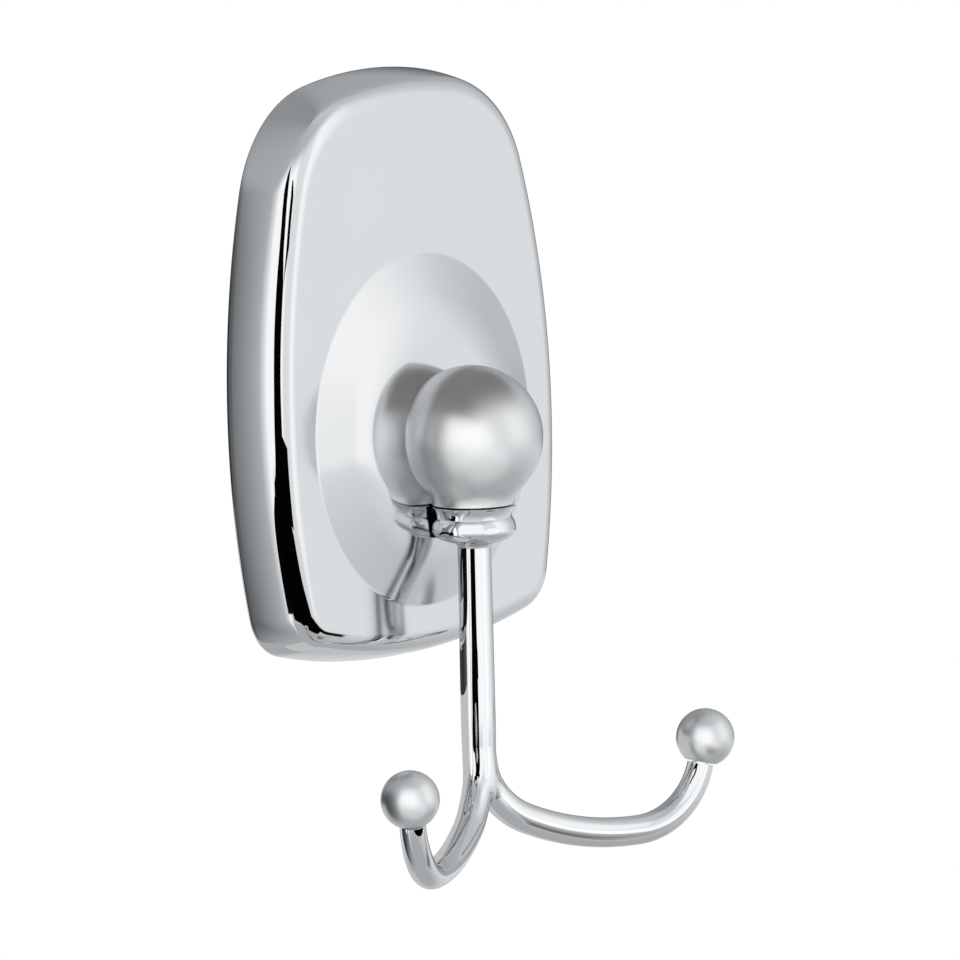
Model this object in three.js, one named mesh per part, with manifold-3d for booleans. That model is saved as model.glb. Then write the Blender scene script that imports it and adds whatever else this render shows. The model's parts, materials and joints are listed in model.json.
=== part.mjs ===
// A wall-mounted double robe hook: a hollow cast plate with a ball hub, a forked hook and its wall fixing.
// Millimetres. The wall is the plane y = 0, -Y points out of the wall and +Z is up.
// The mound in the plate's middle has its axis at z = 0.

import * as THREE from 'three';
import { mergeVertices } from 'three/addons/utils/BufferGeometryUtils.js';
import Module from 'manifold-3d';

const wasm = await Module();
wasm.setup();

// Driving dimensions

// Clearances between neighbouring pieces
const SEAT_GAP = 0.3;
const BORE_GAP = 0.3;
const CUT_OVERRUN = 2;

// Face plate: outline of tangent arcs, measured from the mound's axis
const PLATE_TOP = 65.6;
const PLATE_BOTTOM = 42;
const PLATE_HALF_WIDTH = 43.4;
const PLATE_WIDEST_Z = 3;
const PLATE_TOP_RADIUS = 105;
const PLATE_SIDE_RADIUS = 150;
const PLATE_BOTTOM_RADIUS = 140;
const PLATE_TOP_CORNER = 25;
const PLATE_BOTTOM_CORNER = 10;
const PLATE_DEPTH = 12;
const PLATE_WALL = 2.5;
const PLATE_DRAFT = THREE.MathUtils.degToRad(10.6);
const PLATE_EDGE_RADIUS = 4;

// Mound in the middle of the plate, a turned form
const MOUND_FOOT_RADIUS = 32.5;
const MOUND_TOP_RADIUS = 16;
const MOUND_CREST_RUN = 9;
const MOUND_FOOT_RUN = 0.6;
const MOUND_SLOPE = THREE.MathUtils.degToRad(20);

// Hub ball, its neck and its square key
const HUB_RADIUS = 13;
const HUB_STANDOFF = 6.8;
const HUB_DROP = 1;
const HUB_NECK_RADIUS = 7.6;
const HUB_NECK_LENGTH = 12.3;
const HUB_NECK_FILLET = 3.5;
const HUB_KEY_SIZE = 9;
const HUB_SCREW_HOLE_DEPTH = 8;

// Collar ring below the neck
const COLLAR_LENGTH = 8;
const COLLAR_TOP_RADIUS = 7.6;
const COLLAR_GROOVE_RADIUS = 6.95;
const COLLAR_GROOVE_DROP = 2.1;
const COLLAR_BEAD_RADIUS = 7.7;
const COLLAR_BEAD_DROP = 4.3;
const COLLAR_BEAD_FULLNESS = 0.6;
const COLLAR_COVE_RADIUS = 4.9;
const COLLAR_COVE_DROP = 6.8;
const COLLAR_COVE_SWELL = 0.5;

// Forked hook; it leans a little towards the wall
const HOOK_LEAN = THREE.MathUtils.degToRad(1.5);
const SHANK_RADIUS = 3.2;
const SHANK_TOP_RADIUS = 3.05;
const SHANK_STRAIGHT_END = 56.4;
const SHANK_BLEND = 6.5;
const SHANK_SPIGOT_RADIUS = 2;
const SHANK_SPIGOT_REACH = 6;
const ARM_RADIUS = 2.85;
const ARM_SPREAD = THREE.MathUtils.degToRad(68.2);
const ARM_LEAD_IN = 5;
const ARM_BEND_RADIUS = 15.8;
const ARM_BEND_TURN = THREE.MathUtils.degToRad(67);
const ARM_SWEEP_RADIUS = 56.3;
const ARM_SWEEP_TURN = THREE.MathUtils.degToRad(25.4);
const ARM_RISE_RADIUS = 14.5;
const ARM_RISE_TURN = THREE.MathUtils.degToRad(73.5);
const TIP_RADIUS = 5.35;
const TIP_SPIGOT_RADIUS = 1.5;
const TIP_SPIGOT_LENGTH = 4;

// Hub screw and its washers
const HUB_SCREW_RADIUS = 2.4;
const HUB_SCREW_HEAD_RADIUS = 4.6;
const HUB_SCREW_HEAD_HEIGHT = 3;
const LOCK_WASHER_RADIUS = 4.6;
const LOCK_WASHER_THICKNESS = 1.2;
const LOCK_WASHER_SPLIT = 0.8;
const FLAT_WASHER_RADIUS = 8;
const FLAT_WASHER_THICKNESS = 1;

// Wall bracket, a stamped channel
const BRACKET_HALF_WIDTH = 15;
const BRACKET_HALF_HEIGHT = 31;
const BRACKET_SHEET = 1.6;
const BRACKET_FLANGE = 8;
const BRACKET_BEND = 1.2;
const SCREW_SPACING = 40;
const SLOT_WIDTH = 5;
const SLOT_LENGTH = 9;

// Catch inside the plate that hangs on the bracket's upper flange
const CATCH_THICKNESS = 3;
const CATCH_CHEEK_DROP = 7;

// Set screw through the plate's bottom wall
const SET_SCREW_RADIUS = 2;
const SET_SCREW_SUNK = 2.8;
const SET_SCREW_OUT = 5;
const SET_SCREW_BOSS_RADIUS = 4.1;
const SET_SCREW_BOSS_GAP = 2.4;
const SET_SCREW_KEY_RADIUS = 1.15;
const SET_SCREW_KEY_DEPTH = 2.5;

// Wall screws and plugs
const WALL_SCREW_RADIUS = 2.1;
const WALL_SCREW_HEAD_RADIUS = 4;
const WALL_SCREW_HEAD_HEIGHT = 2.6;
const WALL_SCREW_LENGTH = 32;
const WALL_SCREW_POINT = 5;
const SCREW_CROWN_SHARE = 0.7;
const RECESS_WIDTH = 1.1;
const RECESS_SPAN = 4.2;
const RECESS_DEPTH = 1.4;
const ANCHOR_RADIUS = 3.5;
const ANCHOR_LENGTH = 23;
const ANCHOR_SUNK = 2.6;
const ANCHOR_TAPER = 0.8;
const ANCHOR_SPLIT = 0.7;
const ANCHOR_SPLIT_SHARE = 0.6;

// Facets
const ROUND_SEGMENTS = 48;
const SMALL_SEGMENTS = 24;
const HEX_SIDES = 6;
const ARM_SEGMENTS = 16;
const ARM_STEPS = 36;
const EDGE_STEPS = 5;
const BEND_STEPS = 4;
const OUTLINE_STEPS = { top: 4, topCorner: 8, side: 10, bottomCorner: 6, bottom: 5 };
const PROFILE_STEPS = 6;

// Derived sizes and places

const moundStraightRun = MOUND_FOOT_RADIUS - MOUND_FOOT_RUN - MOUND_TOP_RADIUS - MOUND_CREST_RUN;
const moundHeight = (MOUND_CREST_RUN + MOUND_FOOT_RUN) * Math.tan(MOUND_SLOPE / 2)
  + moundStraightRun * Math.tan(MOUND_SLOPE);
const moundTop = PLATE_DEPTH + moundHeight;
const faceInset = PLATE_EDGE_RADIUS * Math.cos(PLATE_DRAFT)
  + (PLATE_DEPTH - PLATE_EDGE_RADIUS * (1 - Math.sin(PLATE_DRAFT))) * Math.tan(PLATE_DRAFT);
const setScrewHoleZ = -PLATE_BOTTOM + SET_SCREW_OUT * Math.tan(PLATE_DRAFT);
const hubOut = moundTop + HUB_STANDOFF;
const hubZ = -HUB_DROP;
const hubSeatOut = moundTop + SEAT_GAP;
const collarTop = -HUB_NECK_LENGTH - SEAT_GAP;
const collarBottom = collarTop - COLLAR_LENGTH;
const beadZ = collarTop - COLLAR_BEAD_DROP;
const shankTop = collarBottom - SEAT_GAP;
const flatWasherOut = moundTop - PLATE_WALL - SEAT_GAP;
const lockWasherOut = flatWasherOut - FLAT_WASHER_THICKNESS - SEAT_GAP;
const hubScrewSeatOut = lockWasherOut - LOCK_WASHER_THICKNESS - SEAT_GAP;
const hubKeyOut = moundTop - PLATE_WALL + SEAT_GAP;
const hubScrewTipOut = hubSeatOut + HUB_SCREW_HOLE_DEPTH - SEAT_GAP;
const setScrewTop = -BRACKET_HALF_HEIGHT - SEAT_GAP;
const setScrewFoot = setScrewHoleZ + SET_SCREW_SUNK;
const tipSeam = Math.sqrt(TIP_RADIUS ** 2 - ARM_RADIUS ** 2);

// Solids: conversion, joining and cutting

function toSolid(geometry) {
  const bare = geometry.clone();
  bare.deleteAttribute('normal');
  bare.deleteAttribute('uv');
  const merged = orientOutward(mergeVertices(bare, 1e-4));
  const vertProperties = new Float32Array(merged.attributes.position.array);
  const triVerts = new Uint32Array(merged.index.array);
  return new wasm.Manifold(new wasm.Mesh({ numProp: 3, vertProperties, triVerts }));
}

function toGeometry(solid) {
  const mesh = solid.getMesh();
  const geometry = new THREE.BufferGeometry();
  geometry.setAttribute('position', new THREE.BufferAttribute(mesh.vertProperties.slice(), 3));
  geometry.setIndex(new THREE.BufferAttribute(mesh.triVerts.slice(), 1));
  geometry.computeVertexNormals();
  return geometry;
}

function combine(base, joined, removed) {
  let solid = toSolid(base);
  for (const geometry of joined) {
    solid = solid.add(toSolid(geometry));
  }
  for (const geometry of removed) {
    solid = solid.subtract(toSolid(geometry));
  }
  return toGeometry(solid);
}

// Shapes shared by several pieces

function arcPoints(centre, radius, from, to, steps) {
  const points = [];
  for (let i = 0; i <= steps; i += 1) {
    const angle = THREE.MathUtils.lerp(from, to, i / steps);
    points.push(new THREE.Vector2(centre.x + radius * Math.cos(angle), centre.y + radius * Math.sin(angle)));
  }
  return points;
}

// A turned form on the Z axis; the profile holds (radius, height) pairs from the bottom to the top.
function turned(profile, segments = ROUND_SEGMENTS) {
  const geometry = new THREE.LatheGeometry(profile.map(([r, z]) => new THREE.Vector2(r, z)), segments);
  return geometry.rotateX(Math.PI / 2);
}

// A turned form on the Y axis through (0, 0, z); heights are distances out of the wall.
function turnedOut(profile, z = 0, segments = ROUND_SEGMENTS) {
  return turned(profile, segments).rotateX(Math.PI / 2).translate(0, 0, z);
}

function cylinderOut(radius, from, to, z = 0, segments = SMALL_SEGMENTS) {
  return turnedOut([[0, from], [radius, from], [radius, to], [0, to]], z, segments);
}

function cylinderUp(radius, from, to, out, segments = SMALL_SEGMENTS) {
  return turned([[0, from], [radius, from], [radius, to], [0, to]], segments).translate(0, -out, 0);
}

// Moves a form made on the hub's centre, with the hook's axis upright, to its place on the plate.
function hang(geometry) {
  return geometry.rotateX(HOOK_LEAN).translate(0, -hubOut, hubZ);
}

// A box from its low and high corners; the middle pair runs out of the wall.
function block([x0, x1], [out0, out1], [z0, z1]) {
  const box = new THREE.BoxGeometry(x1 - x0, out1 - out0, z1 - z0);
  return box.translate((x0 + x1) / 2, -(out0 + out1) / 2, (z0 + z1) / 2);
}

function crossRecess(depthFrom, depthTo, z) {
  const half = RECESS_SPAN / 2;
  const thin = RECESS_WIDTH / 2;
  return [
    block([-half, half], [depthFrom, depthTo], [z - thin, z + thin]),
    block([-thin, thin], [depthFrom, depthTo], [z - half, z + half]),
  ];
}

// Face plate

// Centre of a corner arc that touches two larger arcs from inside.
function cornerCentre(first, second, radius) {
  const r1 = first.radius - radius;
  const r2 = second.radius - radius;
  const axis = second.centre.clone().sub(first.centre);
  const distance = axis.length();
  const along = (r1 * r1 - r2 * r2 + distance * distance) / (2 * distance);
  const across = Math.sqrt(Math.max(r1 * r1 - along * along, 0));
  axis.normalize();
  const sides = [1, -1].map((side) => new THREE.Vector2(
    first.centre.x + axis.x * along - side * axis.y * across,
    first.centre.y + axis.y * along + side * axis.x * across,
  ));
  return sides[0].x > sides[1].x ? sides[0] : sides[1];
}

const topArc = { centre: new THREE.Vector2(0, PLATE_TOP - PLATE_TOP_RADIUS), radius: PLATE_TOP_RADIUS };
const sideArc = {
  centre: new THREE.Vector2(PLATE_HALF_WIDTH - PLATE_SIDE_RADIUS, PLATE_WIDEST_Z),
  radius: PLATE_SIDE_RADIUS,
};
const bottomArc = {
  centre: new THREE.Vector2(0, PLATE_BOTTOM_RADIUS - PLATE_BOTTOM),
  radius: PLATE_BOTTOM_RADIUS,
};
const topCorner = cornerCentre(topArc, sideArc, PLATE_TOP_CORNER);
const bottomCorner = cornerCentre(bottomArc, sideArc, PLATE_BOTTOM_CORNER);

function angleTo(arc, point) {
  return Math.atan2(point.y - arc.centre.y, point.x - arc.centre.x);
}

// The plate's outline, moved inwards by the inset, as (x, z) points without a repeated end.
function plateOutline(inset) {
  const topEnd = angleTo(topArc, topCorner);
  const sideTop = angleTo(sideArc, topCorner);
  const sideBottom = angleTo(sideArc, bottomCorner);
  const bottomEnd = angleTo(bottomArc, bottomCorner);
  const steps = OUTLINE_STEPS;
  const half = [
    ...arcPoints(topArc.centre, topArc.radius - inset, Math.PI / 2, topEnd, steps.top),
    ...arcPoints(topCorner, PLATE_TOP_CORNER - inset, topEnd, sideTop, steps.topCorner).slice(1),
    ...arcPoints(sideArc.centre, sideArc.radius - inset, sideTop, sideBottom, steps.side).slice(1),
    ...arcPoints(bottomCorner, PLATE_BOTTOM_CORNER - inset, sideBottom, bottomEnd, steps.bottomCorner)
      .slice(1),
    ...arcPoints(bottomArc.centre, bottomArc.radius - inset, bottomEnd, -Math.PI / 2, steps.bottom).slice(1),
  ];
  const mirrored = half.slice(1, -1).reverse().map((p) => new THREE.Vector2(-p.x, p.y));
  return [...half, ...mirrored];
}

// A closed form through plate outlines; each level is an inset and a distance out of the wall.
function plateLoft(levels) {
  const rings = levels.map(({ inset }) => plateOutline(inset));
  const count = rings[0].length;
  const positions = [];
  const indices = [];
  rings.forEach((ring, level) => {
    ring.forEach((p) => positions.push(p.x, -levels[level].out, p.y));
  });
  for (let level = 0; level < levels.length - 1; level += 1) {
    for (let i = 0; i < count; i += 1) {
      const a = level * count + i;
      const b = level * count + ((i + 1) % count);
      indices.push(a, b, b + count, a, b + count, a + count);
    }
  }
  const last = (levels.length - 1) * count;
  for (const [a, b, c] of THREE.ShapeUtils.triangulateShape(rings[0].map((p) => p.clone()), [])) {
    indices.push(a, b, c);
    indices.push(last + a, last + c, last + b);
  }
  const geometry = new THREE.BufferGeometry();
  geometry.setAttribute('position', new THREE.Float32BufferAttribute(positions, 3));
  geometry.setIndex(indices);
  return geometry;
}

function signedVolume(geometry) {
  const position = geometry.attributes.position;
  const a = new THREE.Vector3();
  const b = new THREE.Vector3();
  const c = new THREE.Vector3();
  let volume = 0;
  for (let i = 0; i < geometry.index.count; i += 3) {
    a.fromBufferAttribute(position, geometry.index.getX(i));
    b.fromBufferAttribute(position, geometry.index.getX(i + 1));
    c.fromBufferAttribute(position, geometry.index.getX(i + 2));
    volume += a.dot(b.cross(c)) / 6;
  }
  return volume;
}

function orientOutward(geometry) {
  if (signedVolume(geometry) < 0) {
    const order = Array.from(geometry.index.array);
    geometry.setIndex(order.reverse());
  }
  return geometry;
}

// Levels of the plate's outer skin, or of its hollow when the skin is moved in by a wall thickness.
// The side rises at the draft angle and runs into the face through a tangent arc.
function plateLevels(wall) {
  const centreOut = PLATE_DEPTH - PLATE_EDGE_RADIUS;
  const radius = Math.max(PLATE_EDGE_RADIUS - wall, 0);
  const faceOut = Math.max(PLATE_DEPTH - wall, centreOut);
  const base = wall > 0 ? -CUT_OVERRUN : 0;
  const levels = [{ inset: wall / Math.cos(PLATE_DRAFT) + base * Math.tan(PLATE_DRAFT), out: base }];
  for (let i = 0; i <= EDGE_STEPS; i += 1) {
    const angle = THREE.MathUtils.lerp(PLATE_DRAFT, Math.PI / 2, i / EDGE_STEPS);
    levels.push({
      inset: faceInset - radius * Math.cos(angle),
      out: i === EDGE_STEPS ? faceOut : centreOut + radius * Math.sin(angle),
    });
  }
  return levels;
}

// The mound's half section from its top to its foot, as (radius, distance out of the wall) pairs.
function moundProfile(sunk) {
  const crestRadius = MOUND_CREST_RUN / Math.sin(MOUND_SLOPE);
  const footRadius = MOUND_FOOT_RUN / Math.sin(MOUND_SLOPE);
  const points = [];
  for (let i = 0; i <= PROFILE_STEPS; i += 1) {
    const angle = (i / PROFILE_STEPS) * MOUND_SLOPE;
    points.push([
      MOUND_TOP_RADIUS + crestRadius * Math.sin(angle),
      moundTop - crestRadius * (1 - Math.cos(angle)) - sunk,
    ]);
  }
  for (let i = 0; i <= PROFILE_STEPS; i += 1) {
    const angle = (1 - i / PROFILE_STEPS) * MOUND_SLOPE;
    points.push([
      MOUND_FOOT_RADIUS - footRadius * Math.sin(angle),
      PLATE_DEPTH + footRadius * (1 - Math.cos(angle)) - sunk,
    ]);
  }
  return points;
}

function mound(sunk, base) {
  const profile = moundProfile(sunk);
  const closed = [[0, base], [MOUND_FOOT_RADIUS, base], ...profile.reverse(), [0, moundTop - sunk]];
  return turnedOut(closed, 0, ROUND_SEGMENTS);
}

// An inverted channel that hangs over the bracket's upper flange.
function plateCatch() {
  const inner = BRACKET_HALF_WIDTH + SEAT_GAP;
  const outer = inner + CATCH_THICKNESS;
  const under = BRACKET_HALF_HEIGHT + SEAT_GAP;
  const over = under + CATCH_THICKNESS;
  const foot = BRACKET_HALF_HEIGHT - CATCH_CHEEK_DROP;
  const shape = new THREE.Shape([
    new THREE.Vector2(-outer, foot),
    new THREE.Vector2(-inner, foot),
    new THREE.Vector2(-inner, under),
    new THREE.Vector2(inner, under),
    new THREE.Vector2(inner, foot),
    new THREE.Vector2(outer, foot),
    new THREE.Vector2(outer, over),
    new THREE.Vector2(-outer, over),
  ]);
  const from = BRACKET_SHEET + SEAT_GAP;
  const to = PLATE_DEPTH - PLATE_WALL / 4;
  const prism = new THREE.ExtrudeGeometry(shape, { depth: to - from, bevelEnabled: false });
  return prism.rotateX(Math.PI / 2).translate(0, -from, 0);
}

// The shallow relief in the mound that the collar stands in.
function collarRelief() {
  const radius = COLLAR_BEAD_RADIUS + SEAT_GAP;
  return hang(turned([
    [0, collarBottom],
    [SHANK_TOP_RADIUS, collarBottom],
    [radius, beadZ - COLLAR_BEAD_DROP / 3],
    [radius, -HUB_NECK_LENGTH],
    [0, -HUB_NECK_LENGTH],
  ]));
}

function facePlate() {
  const outer = plateLoft(plateLevels(0));
  const hollow = plateLoft(plateLevels(PLATE_WALL));
  const keyHole = HUB_KEY_SIZE / 2 + BORE_GAP;
  const bossTop = setScrewTop - SET_SCREW_BOSS_GAP;
  const bossFoot = setScrewHoleZ + PLATE_WALL / 2;
  const shell = combine(
    outer,
    [mound(0, PLATE_DEPTH - PLATE_WALL / 2)],
    [hollow, mound(PLATE_WALL, PLATE_DEPTH - PLATE_WALL - PLATE_EDGE_RADIUS)],
  );
  return combine(
    shell,
    [plateCatch(), cylinderUp(SET_SCREW_BOSS_RADIUS, bossFoot, bossTop, SET_SCREW_OUT)],
    [
      collarRelief(),
      block(
        [-keyHole, keyHole],
        [PLATE_DEPTH - PLATE_WALL, moundTop + CUT_OVERRUN],
        [hubZ - keyHole, hubZ + keyHole],
      ),
      cylinderUp(
        SET_SCREW_RADIUS + BORE_GAP,
        -PLATE_BOTTOM - CUT_OVERRUN,
        bossTop + CUT_OVERRUN,
        SET_SCREW_OUT,
      ),
    ],
  );
}

// Hub ball

function hubBall() {
  const filletCentre = {
    r: HUB_NECK_RADIUS + HUB_NECK_FILLET,
    z: -Math.sqrt((HUB_RADIUS + HUB_NECK_FILLET) ** 2 - (HUB_NECK_RADIUS + HUB_NECK_FILLET) ** 2),
  };
  const touch = Math.atan2(filletCentre.z, filletCentre.r);
  const bore = SHANK_SPIGOT_RADIUS + BORE_GAP;
  const boreTop = -SHANK_SPIGOT_REACH + SEAT_GAP;
  const profile = [[0, boreTop], [bore, boreTop], [bore, -HUB_NECK_LENGTH]];
  const neckFoot = Math.max(-HUB_NECK_LENGTH, filletCentre.z);
  if (filletCentre.z > -HUB_NECK_LENGTH) {
    profile.push([HUB_NECK_RADIUS, -HUB_NECK_LENGTH]);
  }
  const filletStart = Math.PI + Math.asin((filletCentre.z - neckFoot) / HUB_NECK_FILLET);
  const filletEnd = touch + Math.PI;
  for (let i = 0; i <= PROFILE_STEPS; i += 1) {
    const angle = THREE.MathUtils.lerp(filletStart, filletEnd, i / PROFILE_STEPS);
    profile.push([
      filletCentre.r + HUB_NECK_FILLET * Math.cos(angle),
      filletCentre.z + HUB_NECK_FILLET * Math.sin(angle),
    ]);
  }
  const ballSteps = ROUND_SEGMENTS / 2;
  for (let i = 1; i <= ballSteps; i += 1) {
    const angle = THREE.MathUtils.lerp(touch, Math.PI / 2, i / ballSteps);
    profile.push([i === ballSteps ? 0 : HUB_RADIUS * Math.cos(angle), HUB_RADIUS * Math.sin(angle)]);
  }
  const ball = hang(turned(profile));
  const key = HUB_KEY_SIZE / 2;
  const span = HUB_RADIUS + CUT_OVERRUN;
  const behindSeat = block([-span, span], [hubOut - span, hubSeatOut], [hubZ - span, hubZ + span]);
  const seated = combine(ball, [], [behindSeat]);
  const holeEnd = hubSeatOut + HUB_SCREW_HOLE_DEPTH;
  return combine(
    seated,
    [block([-key, key], [hubKeyOut, hubOut - HUB_STANDOFF / 4], [hubZ - key, hubZ + key])],
    [cylinderOut(HUB_SCREW_RADIUS + BORE_GAP, hubKeyOut - CUT_OVERRUN, holeEnd, hubZ)],
  );
}

// Collar ring

function collarRing() {
  const bore = SHANK_SPIGOT_RADIUS + BORE_GAP;
  const grooveZ = collarTop - COLLAR_GROOVE_DROP;
  const coveZ = collarTop - COLLAR_COVE_DROP;
  const rise = beadZ - coveZ;
  const section = new THREE.Path();
  section.moveTo(bore, collarBottom);
  section.lineTo(SHANK_TOP_RADIUS, collarBottom);
  section.quadraticCurveTo(SHANK_TOP_RADIUS, coveZ - rise / 6, COLLAR_COVE_RADIUS, coveZ);
  section.bezierCurveTo(
    THREE.MathUtils.lerp(COLLAR_COVE_RADIUS, COLLAR_BEAD_RADIUS, COLLAR_COVE_SWELL), coveZ + rise / 6,
    COLLAR_BEAD_RADIUS, beadZ - rise / 2,
    COLLAR_BEAD_RADIUS, beadZ,
  );
  section.quadraticCurveTo(
    COLLAR_BEAD_RADIUS, THREE.MathUtils.lerp(beadZ, grooveZ, COLLAR_BEAD_FULLNESS),
    COLLAR_GROOVE_RADIUS, grooveZ,
  );
  section.quadraticCurveTo(
    COLLAR_GROOVE_RADIUS, (grooveZ + collarTop) / 2,
    COLLAR_TOP_RADIUS, collarTop,
  );
  section.lineTo(bore, collarTop);
  const profile = section.getPoints(PROFILE_STEPS).map((p) => [p.x, p.y]);
  profile.push(profile[0]);
  return hang(turned(profile));
}

// Forked hook

// The centre line of one arm: down the shank, then three tangent arcs out and up, in a vertical plane.
class ArmCurve extends THREE.Curve {
  constructor(side) {
    super();
    this.direction = new THREE.Vector3(side * Math.sin(ARM_SPREAD), -Math.cos(ARM_SPREAD), 0);
    this.arcs = [
      { radius: ARM_BEND_RADIUS, turn: ARM_BEND_TURN },
      { radius: ARM_SWEEP_RADIUS, turn: ARM_SWEEP_TURN },
      { radius: ARM_RISE_RADIUS, turn: ARM_RISE_TURN },
    ];
    this.total = ARM_LEAD_IN + this.arcs.reduce((sum, arc) => sum + arc.radius * arc.turn, 0);
  }

  // Reach from the shank's axis, height and heading (from level) at a distance along the arm.
  state(distance) {
    let reach = 0;
    let height = -SHANK_STRAIGHT_END + ARM_LEAD_IN - Math.min(distance, ARM_LEAD_IN);
    let heading = -Math.PI / 2;
    let left = distance - ARM_LEAD_IN;
    for (const arc of this.arcs) {
      if (left <= 0) {
        break;
      }
      const turn = Math.min(left / arc.radius, arc.turn);
      reach += arc.radius * (Math.sin(heading + turn) - Math.sin(heading));
      height += arc.radius * (Math.cos(heading) - Math.cos(heading + turn));
      heading += turn;
      left -= arc.radius * turn;
    }
    return { reach, height, heading };
  }

  place(reach, height) {
    const point = new THREE.Vector3(this.direction.x * reach, this.direction.y * reach, height);
    point.applyAxisAngle(new THREE.Vector3(1, 0, 0), HOOK_LEAN);
    return point.add(new THREE.Vector3(0, -hubOut, hubZ));
  }

  getPoint(t) {
    const { reach, height } = this.state(t * this.total);
    return this.place(reach, height);
  }

  // A point beyond the arm's end, straight on along its last heading.
  beyond(distance) {
    const { reach, height, heading } = this.state(this.total);
    return this.place(reach + distance * Math.cos(heading), height + distance * Math.sin(heading));
  }
}

const armRight = new ArmCurve(1);
const armLeft = new ArmCurve(-1);

function tube(path, radius, steps) {
  const circle = arcPoints(new THREE.Vector2(), radius, 0, 2 * Math.PI, ARM_SEGMENTS).slice(0, -1);
  const section = new THREE.Shape(circle);
  return new THREE.ExtrudeGeometry(section, { steps, extrudePath: path, bevelEnabled: false });
}

function tipSpigot(arm) {
  const from = arm.beyond(-TIP_SPIGOT_LENGTH / 2);
  return tube(new THREE.LineCurve3(from, arm.beyond(TIP_SPIGOT_LENGTH)), TIP_SPIGOT_RADIUS, 1);
}

function hookFork() {
  const end = -SHANK_STRAIGHT_END;
  const profile = [[0, end - SHANK_BLEND]];
  for (let i = 1; i <= PROFILE_STEPS; i += 1) {
    const angle = (i / PROFILE_STEPS) * (Math.PI / 2);
    profile.push([SHANK_RADIUS * Math.sin(angle), end - SHANK_BLEND * Math.cos(angle)]);
  }
  profile.push(
    [SHANK_TOP_RADIUS, shankTop],
    [SHANK_SPIGOT_RADIUS, shankTop],
    [SHANK_SPIGOT_RADIUS, -SHANK_SPIGOT_REACH],
    [0, -SHANK_SPIGOT_REACH],
  );
  const shank = hang(turned(profile, SMALL_SEGMENTS));
  const arms = [armRight, armLeft].map((arm) => tube(arm, ARM_RADIUS, ARM_STEPS));
  return combine(shank, [...arms, tipSpigot(armRight), tipSpigot(armLeft)], []);
}

function tipBall(arm) {
  const centre = arm.beyond(tipSeam + SEAT_GAP);
  const steps = SMALL_SEGMENTS / 2;
  const profile = [];
  for (let i = 0; i <= steps; i += 1) {
    const angle = THREE.MathUtils.lerp(-Math.PI / 2, Math.PI / 2, i / steps);
    const onAxis = i === 0 || i === steps;
    profile.push([onAxis ? 0 : TIP_RADIUS * Math.cos(angle), TIP_RADIUS * Math.sin(angle)]);
  }
  const ball = turned(profile, SMALL_SEGMENTS).translate(centre.x, centre.y, centre.z);
  const socket = tube(
    new THREE.LineCurve3(arm.beyond(-TIP_RADIUS), arm.beyond(TIP_SPIGOT_LENGTH + SEAT_GAP)),
    TIP_SPIGOT_RADIUS + BORE_GAP,
    1,
  );
  const armEnd = tube(
    new THREE.LineCurve3(arm.beyond(-TIP_RADIUS), arm.beyond(SEAT_GAP)),
    2 * TIP_RADIUS,
    1,
  );
  return combine(ball, [], [socket, armEnd]);
}

// Hub screw and washers

function hubScrew() {
  const headOut = hubScrewSeatOut - HUB_SCREW_HEAD_HEIGHT;
  const crown = HUB_SCREW_HEAD_HEIGHT / 3;
  const screw = turnedOut([
    [0, headOut],
    [HUB_SCREW_HEAD_RADIUS * SCREW_CROWN_SHARE, headOut],
    [HUB_SCREW_HEAD_RADIUS, headOut + crown],
    [HUB_SCREW_HEAD_RADIUS, hubScrewSeatOut],
    [HUB_SCREW_RADIUS, hubScrewSeatOut],
    [HUB_SCREW_RADIUS, hubScrewTipOut],
    [0, hubScrewTipOut],
  ], hubZ, SMALL_SEGMENTS);
  return combine(screw, [], crossRecess(headOut - CUT_OVERRUN, headOut + RECESS_DEPTH, hubZ));
}

function washer(radius, thickness, out) {
  const bore = HUB_SCREW_RADIUS + BORE_GAP;
  return turnedOut(
    [[bore, out - thickness], [radius, out - thickness], [radius, out], [bore, out], [bore, out - thickness]],
    hubZ,
    SMALL_SEGMENTS,
  );
}

function lockWasher() {
  const ring = washer(LOCK_WASHER_RADIUS, LOCK_WASHER_THICKNESS, lockWasherOut);
  const reach = LOCK_WASHER_RADIUS + CUT_OVERRUN;
  const split = LOCK_WASHER_SPLIT / 2;
  const low = lockWasherOut - LOCK_WASHER_THICKNESS - CUT_OVERRUN;
  const high = lockWasherOut + CUT_OVERRUN;
  return combine(ring, [], [block([0, reach], [low, high], [hubZ - split, hubZ + split])]);
}

// Wall bracket

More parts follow.
